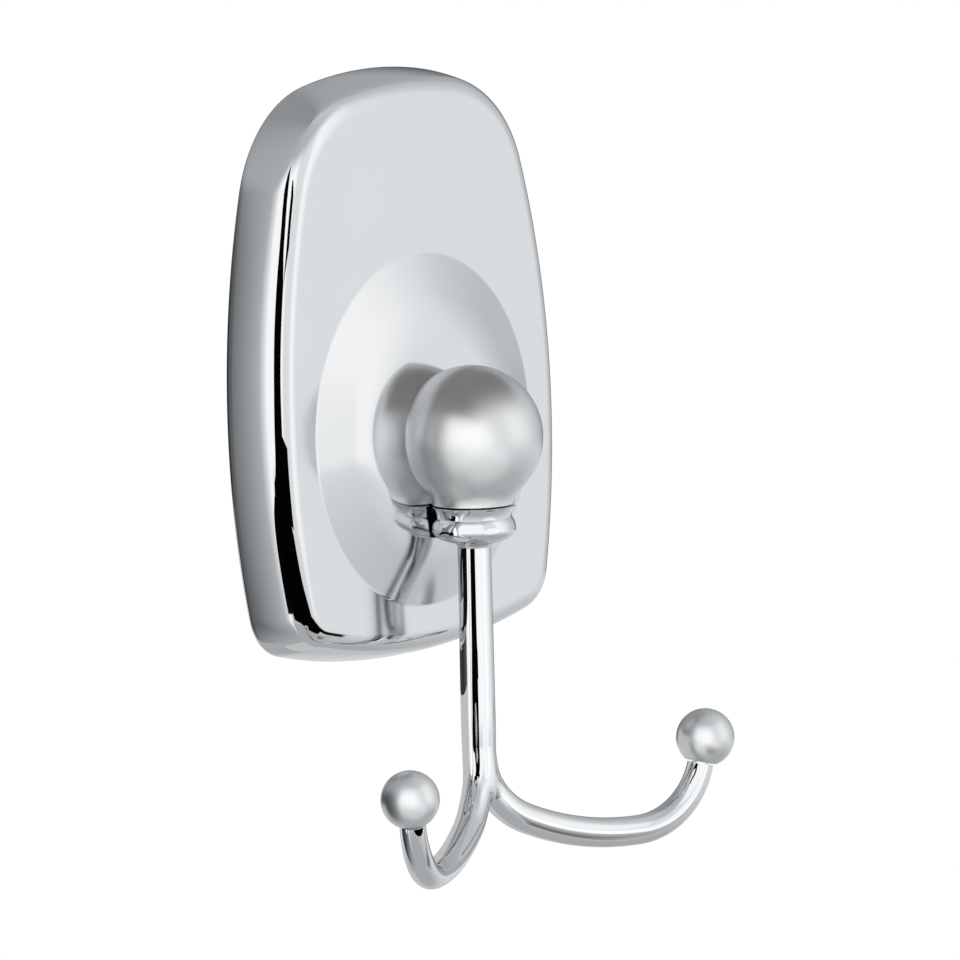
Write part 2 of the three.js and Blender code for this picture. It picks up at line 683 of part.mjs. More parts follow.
function wallBracket() {
  const high = BRACKET_HALF_HEIGHT;
  const inside = high - BRACKET_SHEET;
  const bend = BRACKET_BEND;
  const section = new THREE.Shape();
  section.moveTo(0, -high + bend);
  section.quadraticCurveTo(0, -high, bend, -high);
  section.lineTo(BRACKET_FLANGE, -high);
  section.lineTo(BRACKET_FLANGE, -inside);
  section.lineTo(BRACKET_SHEET, -inside);
  section.lineTo(BRACKET_SHEET, inside);
  section.lineTo(BRACKET_FLANGE, inside);
  section.lineTo(BRACKET_FLANGE, high);
  section.lineTo(bend, high);
  section.quadraticCurveTo(0, high, 0, high - bend);
  const width = 2 * BRACKET_HALF_WIDTH;
  const channel = new THREE.ExtrudeGeometry(
    section,
    { depth: width, bevelEnabled: false, curveSegments: BEND_STEPS },
  );
  channel.applyMatrix4(new THREE.Matrix4().makeBasis(
    new THREE.Vector3(0, -1, 0),
    new THREE.Vector3(0, 0, 1),
    new THREE.Vector3(-1, 0, 0),
  ));
  channel.translate(BRACKET_HALF_WIDTH, 0, 0);
  const straight = (SLOT_LENGTH - SLOT_WIDTH) / 2;
  const cuts = [];
  for (const z of [SCREW_SPACING / 2, -SCREW_SPACING / 2]) {
    const from = -CUT_OVERRUN;
    const to = BRACKET_SHEET + CUT_OVERRUN;
    cuts.push(block([-SLOT_WIDTH / 2, SLOT_WIDTH / 2], [from, to], [z - straight, z + straight]));
    cuts.push(cylinderOut(SLOT_WIDTH / 2, from, to, z - straight));
    cuts.push(cylinderOut(SLOT_WIDTH / 2, from, to, z + straight));
  }
  return combine(channel, [], cuts);
}

// Set screw

function setScrew() {
  const foot = setScrewFoot;
  const chamfer = SET_SCREW_RADIUS / 4;
  const screw = turned([
    [0, foot],
    [SET_SCREW_RADIUS - chamfer, foot],
    [SET_SCREW_RADIUS, foot + chamfer],
    [SET_SCREW_RADIUS, setScrewTop - 2 * chamfer],
    [SET_SCREW_RADIUS - 2 * chamfer, setScrewTop],
    [0, setScrewTop],
  ], SMALL_SEGMENTS).translate(0, -SET_SCREW_OUT, 0);
  const keyTop = foot + SET_SCREW_KEY_DEPTH;
  const key = cylinderUp(SET_SCREW_KEY_RADIUS, foot - CUT_OVERRUN, keyTop, SET_SCREW_OUT, HEX_SIDES);
  return combine(screw, [], [key]);
}

// Wall screws and plugs

function wallScrew(z) {
  const seat = BRACKET_SHEET + SEAT_GAP;
  const top = seat + WALL_SCREW_HEAD_HEIGHT;
  const tip = seat - WALL_SCREW_LENGTH;
  const screw = turnedOut([
    [0, tip],
    [WALL_SCREW_RADIUS, tip + WALL_SCREW_POINT],
    [WALL_SCREW_RADIUS, seat],
    [WALL_SCREW_HEAD_RADIUS, seat],
    [WALL_SCREW_HEAD_RADIUS, top - WALL_SCREW_HEAD_HEIGHT / 2],
    [WALL_SCREW_HEAD_RADIUS * SCREW_CROWN_SHARE, top],
    [0, top],
  ], z, SMALL_SEGMENTS);
  return combine(screw, [], crossRecess(top - RECESS_DEPTH, top + CUT_OVERRUN, z));
}

function wallAnchor(z) {
  const mouth = -ANCHOR_SUNK;
  const end = mouth - ANCHOR_LENGTH;
  const bore = WALL_SCREW_RADIUS + BORE_GAP;
  const wall = ANCHOR_RADIUS - ANCHOR_TAPER;
  const splitTop = end + ANCHOR_LENGTH * ANCHOR_SPLIT_SHARE;
  const plug = turnedOut([
    [bore, end],
    [Math.max(wall, bore + ANCHOR_TAPER / 4), end],
    [ANCHOR_RADIUS, splitTop],
    [ANCHOR_RADIUS, mouth],
    [bore, mouth],
    [bore, end],
  ], z, SMALL_SEGMENTS);
  const half = ANCHOR_SPLIT / 2;
  const reach = ANCHOR_RADIUS + CUT_OVERRUN;
  return combine(plug, [], [block([-reach, reach], [end - CUT_OVERRUN, splitTop], [z - half, z + half])]);
}

// Finishes

function finish(color, roughness, metalness) {
  return new THREE.MeshStandardMaterial({ color, roughness, metalness });
}

const polished = () => finish(0xd9dcdf, 0.06, 1);
const satin = () => finish(0xb9bcbe, 0.4, 1);
const steel = () => finish(0xa9abad, 0.35, 1);
const nylon = () => finish(0xc9ccc8, 0.6, 0);

// Assembly

function piece(name, geometry, material) {
  const mesh = new THREE.Mesh(toGeometry(toSolid(geometry)), material);
  mesh.name = name;
  return mesh;
}

const wallMount = new THREE.Group();
wallMount.add(
  piece('wall_bracket', wallBracket(), steel()),
  piece('wall_screw_upper', wallScrew(SCREW_SPACING / 2), steel()),
  piece('wall_screw_lower', wallScrew(-SCREW_SPACING / 2), steel()),
  piece('wall_anchor_upper', wallAnchor(SCREW_SPACING / 2), nylon()),
  piece('wall_anchor_lower', wallAnchor(-SCREW_SPACING / 2), nylon()),
);

const hookFront = new THREE.Group();
hookFront.add(
  piece('face_plate', facePlate(), polished()),
  piece('hub_ball', hubBall(), satin()),
  piece('hub_screw', hubScrew(), steel()),
  piece('hub_lock_washer', lockWasher(), steel()),
  piece('hub_flat_washer', washer(FLAT_WASHER_RADIUS, FLAT_WASHER_THICKNESS, flatWasherOut), steel()),
  piece('collar_ring', collarRing(), polished()),
  piece('hook_fork', hookFork(), polished()),
  piece('tip_ball_left', tipBall(armLeft), satin()),
  piece('tip_ball_right', tipBall(armRight), satin()),
  piece('set_screw', setScrew(), steel()),
);

const robeHook = new THREE.Group();
robeHook.add(wallMount, hookFront);

export default robeHook;
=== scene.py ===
import json
import math

import bmesh
import bpy
import numpy as np
from mathutils import Matrix, Vector

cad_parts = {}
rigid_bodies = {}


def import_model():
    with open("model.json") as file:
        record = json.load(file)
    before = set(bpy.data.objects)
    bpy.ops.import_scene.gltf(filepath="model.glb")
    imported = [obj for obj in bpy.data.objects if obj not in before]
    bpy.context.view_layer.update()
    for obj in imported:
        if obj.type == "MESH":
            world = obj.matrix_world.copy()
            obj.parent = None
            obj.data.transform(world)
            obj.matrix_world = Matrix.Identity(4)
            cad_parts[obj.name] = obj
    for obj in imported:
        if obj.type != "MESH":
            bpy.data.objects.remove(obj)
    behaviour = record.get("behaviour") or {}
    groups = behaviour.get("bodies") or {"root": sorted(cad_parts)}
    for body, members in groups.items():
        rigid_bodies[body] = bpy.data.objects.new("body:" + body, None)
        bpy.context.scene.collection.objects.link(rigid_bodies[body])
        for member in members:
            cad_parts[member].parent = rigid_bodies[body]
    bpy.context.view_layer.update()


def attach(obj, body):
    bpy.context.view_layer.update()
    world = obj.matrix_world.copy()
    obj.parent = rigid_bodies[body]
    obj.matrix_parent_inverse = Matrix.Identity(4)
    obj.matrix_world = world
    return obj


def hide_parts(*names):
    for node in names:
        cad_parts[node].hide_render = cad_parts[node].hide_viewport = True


# A wall-mounted double robe hook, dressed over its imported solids.
# Sizes are in millimetres, in the solids' frame: the wall is y = 0, -Y is out of the wall, +Z is up.

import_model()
scene = bpy.context.scene
scene.view_settings.view_transform = "Standard"

MM = 0.001
SEAT_GAP = 0.3
BORE_GAP = 0.3

# Face plate
PLATE_TOP, PLATE_BOTTOM, PLATE_HALF_WIDTH, PLATE_WIDEST_Z = 65.6, 42.0, 43.4, 3.0
PLATE_TOP_RADIUS, PLATE_SIDE_RADIUS, PLATE_BOTTOM_RADIUS = 105.0, 150.0, 140.0
PLATE_TOP_CORNER, PLATE_BOTTOM_CORNER = 25.0, 10.0
PLATE_DEPTH, PLATE_WALL, PLATE_EDGE_RADIUS = 12.0, 2.5, 4.0
SIDE_LEAN_BACK, SIDE_LEAN_FRONT = math.radians(4.0), math.radians(17.0)
PLATE_RIM_RADIUS, FLAT_GUARD = 1.1, 0.1
FACE_SOFTNESS, FACE_FADE, FACE_EDGE = 0.1, 0.15, 0.02
CATCH_WALL, CATCH_FOOT, CATCH_SINK = 3.0, 24.0, 0.6
BOSS_RADIUS, BOSS_TOP, BOSS_LEAN, SCREW_HOLE_TOP = 4.1, -33.7, math.radians(10.6), -31.0

# Mound
MOUND_FOOT_RADIUS, MOUND_TOP_RADIUS, MOUND_CREST_RUN, MOUND_FOOT_RUN = 32.5, 16.0, 9.0, 0.6
MOUND_SLOPE = math.radians(20.0)
MOUND_STRAIGHT_RUN = MOUND_FOOT_RADIUS - MOUND_FOOT_RUN - MOUND_TOP_RADIUS - MOUND_CREST_RUN
MOUND_HEIGHT = ((MOUND_CREST_RUN + MOUND_FOOT_RUN) * math.tan(MOUND_SLOPE / 2)
                + MOUND_STRAIGHT_RUN * math.tan(MOUND_SLOPE))
MOUND_TOP = PLATE_DEPTH + MOUND_HEIGHT

# Hub ball and collar
HUB_RADIUS, HUB_STANDOFF, HUB_Z = 13.0, 6.8, -1.0
HUB_NECK_RADIUS, HUB_NECK_LENGTH, HUB_NECK_FILLET = 7.6, 12.3, 3.5
HUB_KEY, HUB_KEY_SINK, HUB_SCREW_HOLE, SEAT_SHOWN = 9.0, 1.7, 8.0, 0.02
NECK_BREAK_WIDTH, NECK_BREAK_HEIGHT, COLLAR_BREAK = 0.12, 0.1, 0.12
HUB_OUT = MOUND_TOP + HUB_STANDOFF
HUB_SEAT_OUT = MOUND_TOP + SEAT_SHOWN
COLLAR_TOP = -HUB_NECK_LENGTH - SEAT_GAP
COLLAR_BOTTOM = COLLAR_TOP - 7.6
COLLAR_GROOVE_Z, COLLAR_BEAD_Z, COLLAR_COVE_Z = COLLAR_TOP - 2.1, COLLAR_TOP - 4.3, COLLAR_TOP - 6.5
COLLAR_TOP_RADIUS, COLLAR_GROOVE_RADIUS, COLLAR_BEAD_RADIUS, COLLAR_COVE_RADIUS = 7.6, 6.95, 7.7, 4.9
COLLAR_RELIEF, COLLAR_RELIEF_FOOT = COLLAR_BEAD_RADIUS + SEAT_GAP, COLLAR_BEAD_Z - 1.43
# The relief behind the collar is rougher, and its near-black colour is painted shadow for the gap behind the
# collar.
RELIEF_MARGIN, RELIEF_DULLNESS, RELIEF_PAINTED_SHADOW = 0.05, 0.4, (0.02, 0.02, 0.02)

# Forked hook
HOOK_LEAN = math.radians(1.5)
SHANK_RADIUS, SHANK_TOP_RADIUS, SHANK_STRAIGHT_END = 3.2, 3.05, 56.4
SHANK_TOP = COLLAR_BOTTOM - SEAT_SHOWN
SPIGOT_RADIUS, SPIGOT_REACH = 2.0, 6.0
ARM_RADIUS, ARM_SPREAD = 2.85, math.radians(68.2)
ARM_ARCS = ((15.8, math.radians(67)), (56.3, math.radians(25.4)), (14.5, math.radians(73.5)))
TIP_RADIUS, TIP_SPIGOT_RADIUS, TIP_SPIGOT_LENGTH = 5.35, 1.5, 4.0
TIP_SEAM = math.sqrt(TIP_RADIUS ** 2 - ARM_RADIUS ** 2)
RUN_ON, TAPER_START, TAPER_LENGTH = 2.0, 6.0, 18.0
MELT, MELT_REACH, FORK_GRAIN, SKIN = 2.2, 6.0, 0.36, 0.02

# Fixings
BRACKET_HALF_WIDTH, BRACKET_HALF_HEIGHT, BRACKET_SHEET, BRACKET_FLANGE = 15.0, 31.0, 1.6, 8.0
BRACKET_BEND, BRACKET_INNER_BEND, BRACKET_LIP, BRACKET_BREAK = 1.8, 0.6, 0.5, 0.25
SLOT_WIDTH, SLOT_LENGTH, SCREW_HEIGHT = 5.0, 9.0, 20.0
WALL_SCREW_LENGTH, WALL_SCREW_RADIUS, WALL_SCREW_CORE, WALL_SCREW_PITCH = 32.0, 2.1, 1.45, 1.6
WALL_SCREW_POINT, WALL_SCREW_POINT_SHARE = 5.0, 0.05
WALL_SCREW_HEAD_RADIUS, WALL_SCREW_HEAD_HEIGHT = 4.0, 2.6
HUB_SCREW_RADIUS, HUB_SCREW_CORE, HUB_SCREW_PITCH = 2.4, 1.95, 0.8
HUB_SCREW_POINT, HUB_SCREW_POINT_SHARE = 0.8, 0.8
HUB_SCREW_HEAD_RADIUS, HUB_SCREW_HEAD_HEIGHT = 4.6, 3.0
RECESS_REACH, RECESS_HALF_WIDTH, RECESS_DEPTH = 2.1, 0.55, 1.4
HEAD_BITE, HEAD_EDGE_SHARE, HEAD_BREAK = 0.4, 0.35, 0.15
FLAT_WASHER_RADIUS, FLAT_WASHER_THICKNESS = 8.0, 1.0
LOCK_WASHER_RADIUS, LOCK_WASHER_THICKNESS, LOCK_WASHER_SPLIT, LOCK_WASHER_CLIMB = 4.6, 1.2, 0.8, 0.25
FLAT_WASHER_BREAK, LOCK_WASHER_BREAK = 0.2, 0.12
SET_SCREW_RADIUS, SET_SCREW_CORE, SET_SCREW_PITCH = 2.0, 1.65, 0.7
SET_SCREW_POINT, SET_SCREW_POINT_SHARE = 1.0, 0.55
SET_SCREW_OUT, SET_SCREW_FOOT = 5.0, -38.26
SET_SCREW_KEY_RADIUS, SET_SCREW_KEY_DEPTH = 1.15, 2.5
ANCHOR_LENGTH, ANCHOR_RADIUS, ANCHOR_CORE, ANCHOR_PITCH, ANCHOR_FAR_SHARE = 23.0, 3.5, 3.1, 2.0, 0.87
ANCHOR_SUNK, ANCHOR_SPLIT, ANCHOR_SPLIT_SHARE = 2.6, 0.7, 0.6
ANCHOR_RIM, ANCHOR_RIM_BREAK = 1.4, 0.2

HANG = Matrix.Translation((0, -HUB_OUT, HUB_Z)) @ Matrix.Rotation(HOOK_LEAN, 4, "X")
OUT_OF_WALL = Matrix.Rotation(math.pi / 2, 4, "X")
INTO_WALL = Matrix.Rotation(-math.pi / 2, 4, "X")


# Mesh helpers

def piece_from(name, points, faces):
    mesh = bpy.data.meshes.new(name)
    mesh.from_pydata([tuple(p) for p in np.asarray(points, float) * MM], [], faces)
    shape = bmesh.new()
    shape.from_mesh(mesh)
    bmesh.ops.remove_doubles(shape, verts=shape.verts, dist=1e-7)
    bmesh.ops.recalc_face_normals(shape, faces=shape.faces)
    shape.to_mesh(mesh)
    shape.free()
    obj = bpy.data.objects.new(name, mesh)
    scene.collection.objects.link(obj)
    return obj


def place(obj, matrix):
    """Moves a piece by a matrix in millimetres, in its mesh."""
    moved = matrix.copy()
    moved.translation = matrix.translation * MM
    obj.data.transform(moved)
    obj.data.update()
    return obj


def plain(obj):
    """Turns a piece with modifiers into a plain mesh."""
    depsgraph = bpy.context.evaluated_depsgraph_get()
    mesh = bpy.data.meshes.new_from_object(obj.evaluated_get(depsgraph))
    old = obj.data
    obj.modifiers.clear()
    obj.data = mesh
    bpy.data.meshes.remove(old)
    return obj


def carve(obj, tool, operation="DIFFERENCE"):
    modifier = obj.modifiers.new("carve", "BOOLEAN")
    modifier.operation = operation
    modifier.solver = "MANIFOLD"
    modifier.object = tool
    plain(obj)
    bpy.data.objects.remove(tool)
    return obj


def rings_to_faces(count, levels):
    faces = []
    for level in range(levels - 1):
        for i in range(count):
            j = (i + 1) % count
            low, high = level * count, (level + 1) * count
            faces.append((low + i, low + j, high + j, high + i))
    return faces


def turned(name, profile, segments=96, closed=False):
    """A turned form on the Z axis from (radius, height) pairs; an end on the axis becomes one point."""
    points, rows, faces = [], [], []
    for radius, height in profile:
        if radius < 1e-6:
            rows.append([len(points)])
            points.append((0, 0, height))
        else:
            rows.append(list(range(len(points), len(points) + segments)))
            for i in range(segments):
                angle = 2 * math.pi * i / segments
                points.append((radius * math.cos(angle), radius * math.sin(angle), height))
    pairs = list(zip(rows, rows[1:]))
    if closed:
        pairs.append((rows[-1], rows[0]))
    for low, high in pairs:
        for i in range(segments):
            j = (i + 1) % segments
            corners = [low[i % len(low)], low[j % len(low)], high[j % len(high)], high[i % len(high)]]
            faces.append(tuple(dict.fromkeys(corners)))
    return piece_from(name, points, faces)


def cylinder(name, radius, low, high, segments=48):
    return turned(name, [(0, low), (radius, low), (radius, high), (0, high)], segments)


def block(name, xs, outs, zs):
    corners = [(x, -out, z) for x in xs for out in outs for z in zs]
    faces = [(0, 1, 3, 2), (4, 6, 7, 5), (0, 4, 5, 1), (2, 3, 7, 6), (0, 2, 6, 4), (1, 5, 7, 3)]
    return piece_from(name, corners, faces)


def prism(name, outline, matrix, low, high):
    """A flat outline pushed out along the matrix's Z axis."""
    count = len(outline)
    points = [(x, y, level) for level in (low, high) for x, y in outline]
    faces = [tuple(range(count))[::-1], tuple(range(count, 2 * count))] + rings_to_faces(count, 2)
    return place(piece_from(name, points, faces), matrix)


def polish(obj, angle=30):
    """Smooth shading that stops at the edges."""
    obj.data.shade_smooth()
    obj.data.set_sharp_from_angle(angle=math.radians(angle))
    return obj


def dress(obj, finish, body, node):
    obj.data.materials.clear()
    obj.data.materials.append(finish)
    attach(obj, body)
    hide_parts(node)
    return obj


def bezier(points, steps):
    t = np.linspace(0, 1, steps + 1)[:, None]
    points = [np.asarray(p, float) for p in points]
    while len(points) > 1:
        points = [a + (b - a) * t for a, b in zip(points, points[1:])]
    return [tuple(p) for p in points[0]]


# Finishes

HAZE_SPAN, BUMP_DEPTH = (0.35, 0.7), 0.1 * MM


def link(tree, source, target):
    tree.links.new(source, target)


def math_node(tree, operation, a, b=None):
    node = tree.nodes.new("ShaderNodeMath")
    node.operation = operation
    for slot_index, value in enumerate((a, b)):
        if value is None:
            continue
        if isinstance(value, (int, float)):
            node.inputs[slot_index].default_value = value
        else:
            link(tree, value, node.inputs[slot_index])
    return node.outputs[0]


def map_range(tree, value, low, high, to_low=0.0, to_high=1.0, smooth=True):
    node = tree.nodes.new("ShaderNodeMapRange")
    node.interpolation_type = "SMOOTHSTEP" if smooth else "LINEAR"
    link(tree, value, node.inputs["Value"])
    node.inputs["From Min"].default_value = low
    node.inputs["From Max"].default_value = high
    node.inputs["To Min"].default_value = to_low
    node.inputs["To Max"].default_value = to_high
    return node.outputs["Result"]


def blend(tree, share, first, second):
    """first where the share is 0, second where it is 1."""
    kept = math_node(tree, "MULTIPLY", math_node(tree, "SUBTRACT", 1.0, share), first)
    return math_node(tree, "ADD", kept, math_node(tree, "MULTIPLY", share, second))


def mix_colours(tree, share, first, second):
    """Like blend, for colours: sockets, or numbers that stay on the node."""
    mix = tree.nodes.new("ShaderNodeMix")
    mix.data_type = "RGBA"
    link(tree, share, mix.inputs["Factor"])
    for socket, colour in zip([s for s in mix.inputs if s.type == "RGBA"], (first, second)):
        if isinstance(colour, tuple):
            socket.default_value = (*colour, 1)
        else:
            link(tree, colour, socket)
    return next(s for s in mix.outputs if s.type == "RGBA")


def split(tree, vector):
    """The x, y and z of a vector."""
    parts = tree.nodes.new("ShaderNodeSeparateXYZ")
    link(tree, vector, parts.inputs["Vector"])
    return parts.outputs


def add_inputs(tree, kind, *inputs):
    """Named inputs of one kind for a node group, each with its usual value if it has one."""
    for name, *usual in inputs:
        made = tree.interface.new_socket(name=name, in_out="INPUT", socket_type="NodeSocket" + kind)
        for value in usual:
            made.default_value = value


def add_outputs(tree, kind, *names):
    for name in names:
        tree.interface.new_socket(name=name, in_out="OUTPUT", socket_type="NodeSocket" + kind)


def new_material(name):
    material = bpy.data.materials.new(name)
    material.use_nodes = True
    return material, material.node_tree, material.node_tree.nodes["Principled BSDF"]


def handled_surface_group():
    """Soft hazing from handling and fine polishing marks, shared by every finish."""
    group = bpy.data.node_groups.new("handled_surface", "ShaderNodeTree")
    add_inputs(group, "Vector", ("Vector",))
    add_inputs(group, "Float", ("Haze Scale", 60.0), ("Mark Scale", 900.0), ("Low", 0.02), ("High", 0.05))
    add_outputs(group, "Float", "Roughness", "Marks", "Haze")
    given, put = group.nodes.new("NodeGroupInput"), group.nodes.new("NodeGroupOutput")
    for scale, detail, shown in (("Haze Scale", 3.0, "Haze"), ("Mark Scale", 4.0, "Marks")):
        noise = group.nodes.new("ShaderNodeTexNoise")
        noise.inputs["Detail"].default_value = detail
        link(group, given.outputs["Vector"], noise.inputs["Vector"])
        link(group, given.outputs[scale], noise.inputs["Scale"])
        link(group, noise.outputs["Fac"], put.inputs[shown])
    haze = put.inputs["Haze"].links[0].from_socket
    spread = map_range(group, haze, *HAZE_SPAN).node
    link(group, given.outputs["Low"], spread.inputs["To Min"])
    link(group, given.outputs["High"], spread.inputs["To Max"])
    link(group, spread.outputs["Result"], put.inputs["Roughness"])
    return group


def surface(name, tint, deep, low, high, haze_scale, mark_scale, bump=0.0, metallic=1.0):
    """A finish: colour between two tones, roughness from handling and, if it has grain, a bump."""
    finish, tree, shader = new_material(name)
    shader.inputs["Metallic"].default_value = metallic
    coords, handled = tree.nodes.new("ShaderNodeTexCoord"), tree.nodes.new("ShaderNodeGroup")
    handled.node_tree = handled_surface
    settings = {"Haze Scale": haze_scale, "Mark Scale": mark_scale, "Low": low, "High": high}
    for setting, value in settings.items():
        handled.inputs[setting].default_value = value
    link(tree, coords.outputs["Object"], handled.inputs["Vector"])
    link(tree, handled.outputs["Roughness"], shader.inputs["Roughness"])
    link(tree, mix_colours(tree, handled.outputs["Haze"], deep, tint), shader.inputs["Base Color"])
    if bump > 0:
        bumped = tree.nodes.new("ShaderNodeBump")
        bumped.inputs["Strength"].default_value = bump
        bumped.inputs["Distance"].default_value = BUMP_DEPTH
        link(tree, handled.outputs["Marks"], bumped.inputs["Height"])
        link(tree, bumped.outputs["Normal"], shader.inputs["Normal"])
    return finish


handled_surface = handled_surface_group()
CHROME = dict(tint=(0.93, 0.935, 0.94), deep=(0.90, 0.905, 0.915), low=0.012, high=0.03,
              haze_scale=45, mark_scale=900)
chrome = surface("polished_chrome", **CHROME)
satin = surface("satin_nickel", tint=(0.93, 0.935, 0.935), deep=(0.88, 0.885, 0.89), low=0.31, high=0.37,
                haze_scale=90, mark_scale=2600, bump=0.04)
zinc = surface("zinc_plate", tint=(0.70, 0.71, 0.72), deep=(0.60, 0.61, 0.63), low=0.26, high=0.4,
               haze_scale=160, mark_scale=1400, bump=0.08)
nylon = surface("moulded_nylon", tint=(0.80, 0.81, 0.79), deep=(0.74, 0.75, 0.73), low=0.45, high=0.6,
                haze_scale=240, mark_scale=1500, metallic=0.0)


def plate_finish():
    """Polished chrome, a little softer on the flat face; in the relief behind the collar it is rougher and
    painted near-black as painted shadow.
    """
    finish = surface("plate_chrome", **CHROME)
    tree = finish.node_tree
    shader = tree.nodes["Principled BSDF"]
    coords, along_hook = tree.nodes.new("ShaderNodeTexCoord"), tree.nodes.new("ShaderNodeMapping")
    _, out, _ = split(tree, coords.outputs["Object"])
    face = map_range(tree, out, -PLATE_DEPTH * MM, (-PLATE_DEPTH + FACE_FADE) * MM, FACE_SOFTNESS, 0.0)
    along_hook.vector_type = "TEXTURE"
    along_hook.inputs["Location"].default_value = HANG.translation * MM
    along_hook.inputs["Rotation"].default_value = (HOOK_LEAN, 0, 0)
    link(tree, coords.outputs["Object"], along_hook.inputs["Vector"])
    x, y, z = split(tree, along_hook.outputs["Vector"])
    squared = math_node(tree, "ADD", math_node(tree, "MULTIPLY", x, x), math_node(tree, "MULTIPLY", y, y))
    near = math_node(tree, "LESS_THAN", squared, ((COLLAR_RELIEF + RELIEF_MARGIN) * MM) ** 2)
    below = math_node(tree, "LESS_THAN", z, (-HUB_NECK_LENGTH + RELIEF_MARGIN) * MM)
    above = math_node(tree, "GREATER_THAN", z, (COLLAR_RELIEF_FOOT - RELIEF_MARGIN) * MM)
    relief = math_node(tree, "MULTIPLY", near, math_node(tree, "MULTIPLY", below, above))
    dull = math_node(tree, "ADD", face, math_node(tree, "MULTIPLY", relief, RELIEF_DULLNESS))
    polished, colour = (shader.inputs[name].links[0].from_socket for name in ("Roughness", "Base Color"))
    link(tree, math_node(tree, "ADD", polished, dull), shader.inputs["Roughness"])
    # Painted shadow: the relief behind the collar is coloured near-black.
    link(tree, mix_colours(tree, relief, colour, RELIEF_PAINTED_SHADOW), shader.inputs["Base Color"])
    return finish


# Face plate

def arc(centre, radius, start, end, steps):
    t = np.linspace(start, end, steps + 1)
    return np.c_[centre[0] + radius * np.cos(t), centre[1] + radius * np.sin(t)]


def corner_centre(first, second, radius):
    (c1, r1), (c2, r2) = first, second
    r1, r2 = r1 - radius, r2 - radius
    axis = c2 - c1
    distance = np.hypot(*axis)
    along = (r1 ** 2 - r2 ** 2 + distance ** 2) / (2 * distance)
    across = math.sqrt(r1 ** 2 - along ** 2)
    axis = axis / distance
    normal = np.array([-axis[1], axis[0]])
    return max((c1 + axis * along + side * normal * across for side in (1, -1)), key=lambda p: p[0])


TOP_ARC = (np.array([0, PLATE_TOP - PLATE_TOP_RADIUS]), PLATE_TOP_RADIUS)
SIDE_ARC = (np.array([PLATE_HALF_WIDTH - PLATE_SIDE_RADIUS, PLATE_WIDEST_Z]), PLATE_SIDE_RADIUS)
BOTTOM_ARC = (np.array([0, PLATE_BOTTOM_RADIUS - PLATE_BOTTOM]), PLATE_BOTTOM_RADIUS)
TOP_CORNER = corner_centre(TOP_ARC, SIDE_ARC, PLATE_TOP_CORNER)
BOTTOM_CORNER = corner_centre(BOTTOM_ARC, SIDE_ARC, PLATE_BOTTOM_CORNER)


def heading_to(arc_part, point):
    return math.atan2(point[1] - arc_part[0][1], point[0] - arc_part[0][0])


def plate_outline(inset, detail=1.0):
    """The plate's outline moved inwards, as (x, z) rows without a repeated end."""
    top_end, side_top = heading_to(TOP_ARC, TOP_CORNER), heading_to(SIDE_ARC, TOP_CORNER)
    side_bottom, bottom_end = heading_to(SIDE_ARC, BOTTOM_CORNER), heading_to(BOTTOM_ARC, BOTTOM_CORNER)
    steps = [max(3, int(n * detail)) for n in (22, 44, 56, 40, 26)]
    half = np.concatenate([
        arc(TOP_ARC[0], TOP_ARC[1] - inset, math.pi / 2, top_end, steps[0]),
        arc(TOP_CORNER, PLATE_TOP_CORNER - inset, top_end, side_top, steps[1])[1:],
        arc(SIDE_ARC[0], SIDE_ARC[1] - inset, side_top, side_bottom, steps[2])[1:],
        arc(BOTTOM_CORNER, PLATE_BOTTOM_CORNER - inset, side_bottom, bottom_end, steps[3])[1:],
        arc(BOTTOM_ARC[0], BOTTOM_ARC[1] - inset, bottom_end, -math.pi / 2, steps[4])[1:],
    ])
    mirrored = half[1:-1][::-1] * [-1, 1]
    return np.concatenate([half, mirrored])


def plate_levels(wall, side_steps, edge_steps):
    """(inset, distance out of the wall) rows up the crowned side and round the edge to the face."""
    shoulder_out = PLATE_DEPTH - PLATE_EDGE_RADIUS * (1 - math.sin(SIDE_LEAN_FRONT))
    levels = []
    if wall == 0:
        for angle in np.linspace(0, math.pi / 2 - SIDE_LEAN_BACK, 8)[:-1]:
            inset, out = PLATE_RIM_RADIUS * (1 - math.sin(angle)), PLATE_RIM_RADIUS * (1 - math.cos(angle))
            levels.append((inset, out))
    rim_out = PLATE_RIM_RADIUS * (1 - math.sin(SIDE_LEAN_BACK))
    inset = PLATE_RIM_RADIUS * (1 - math.cos(SIDE_LEAN_BACK))
    fine = 40
    step = (shoulder_out - rim_out) / (side_steps * fine)
    for i in range(side_steps * fine + 1):
        if i % fine == 0:
            levels.append((inset + wall, rim_out + i * step))
        lean = SIDE_LEAN_BACK + (SIDE_LEAN_FRONT - SIDE_LEAN_BACK) * i / (side_steps * fine)
        inset += math.tan(lean) * step
    centre_inset = levels[-1][0] - wall + PLATE_EDGE_RADIUS * math.cos(SIDE_LEAN_FRONT)
    radius = PLATE_EDGE_RADIUS - wall
    for i in range(1 if wall == 0 else 0, edge_steps + 1):
        angle = SIDE_LEAN_FRONT + (math.pi / 2 - SIDE_LEAN_FRONT) * i / edge_steps
        out = PLATE_DEPTH - PLATE_EDGE_RADIUS + radius * math.sin(angle)
        levels.append((centre_inset - radius * math.cos(angle), out))
    return levels


def mound_rows(wall, steps):
    """(radius, distance out of the wall) rows from the foot to the flat top."""
    crest, foot = MOUND_CREST_RUN / math.sin(MOUND_SLOPE), MOUND_FOOT_RUN / math.sin(MOUND_SLOPE)
    rows = []
    for angle in np.linspace(0, MOUND_SLOPE, max(3, steps // 3)):
        rise = foot * (1 - math.cos(angle))
        rows.append((MOUND_FOOT_RADIUS - foot * math.sin(angle), PLATE_DEPTH + rise - wall))
    for angle in np.linspace(MOUND_SLOPE, 0, steps):
        fall = crest * (1 - math.cos(angle))
        rows.append((MOUND_TOP_RADIUS + crest * math.sin(angle), MOUND_TOP - fall - wall))
    return rows


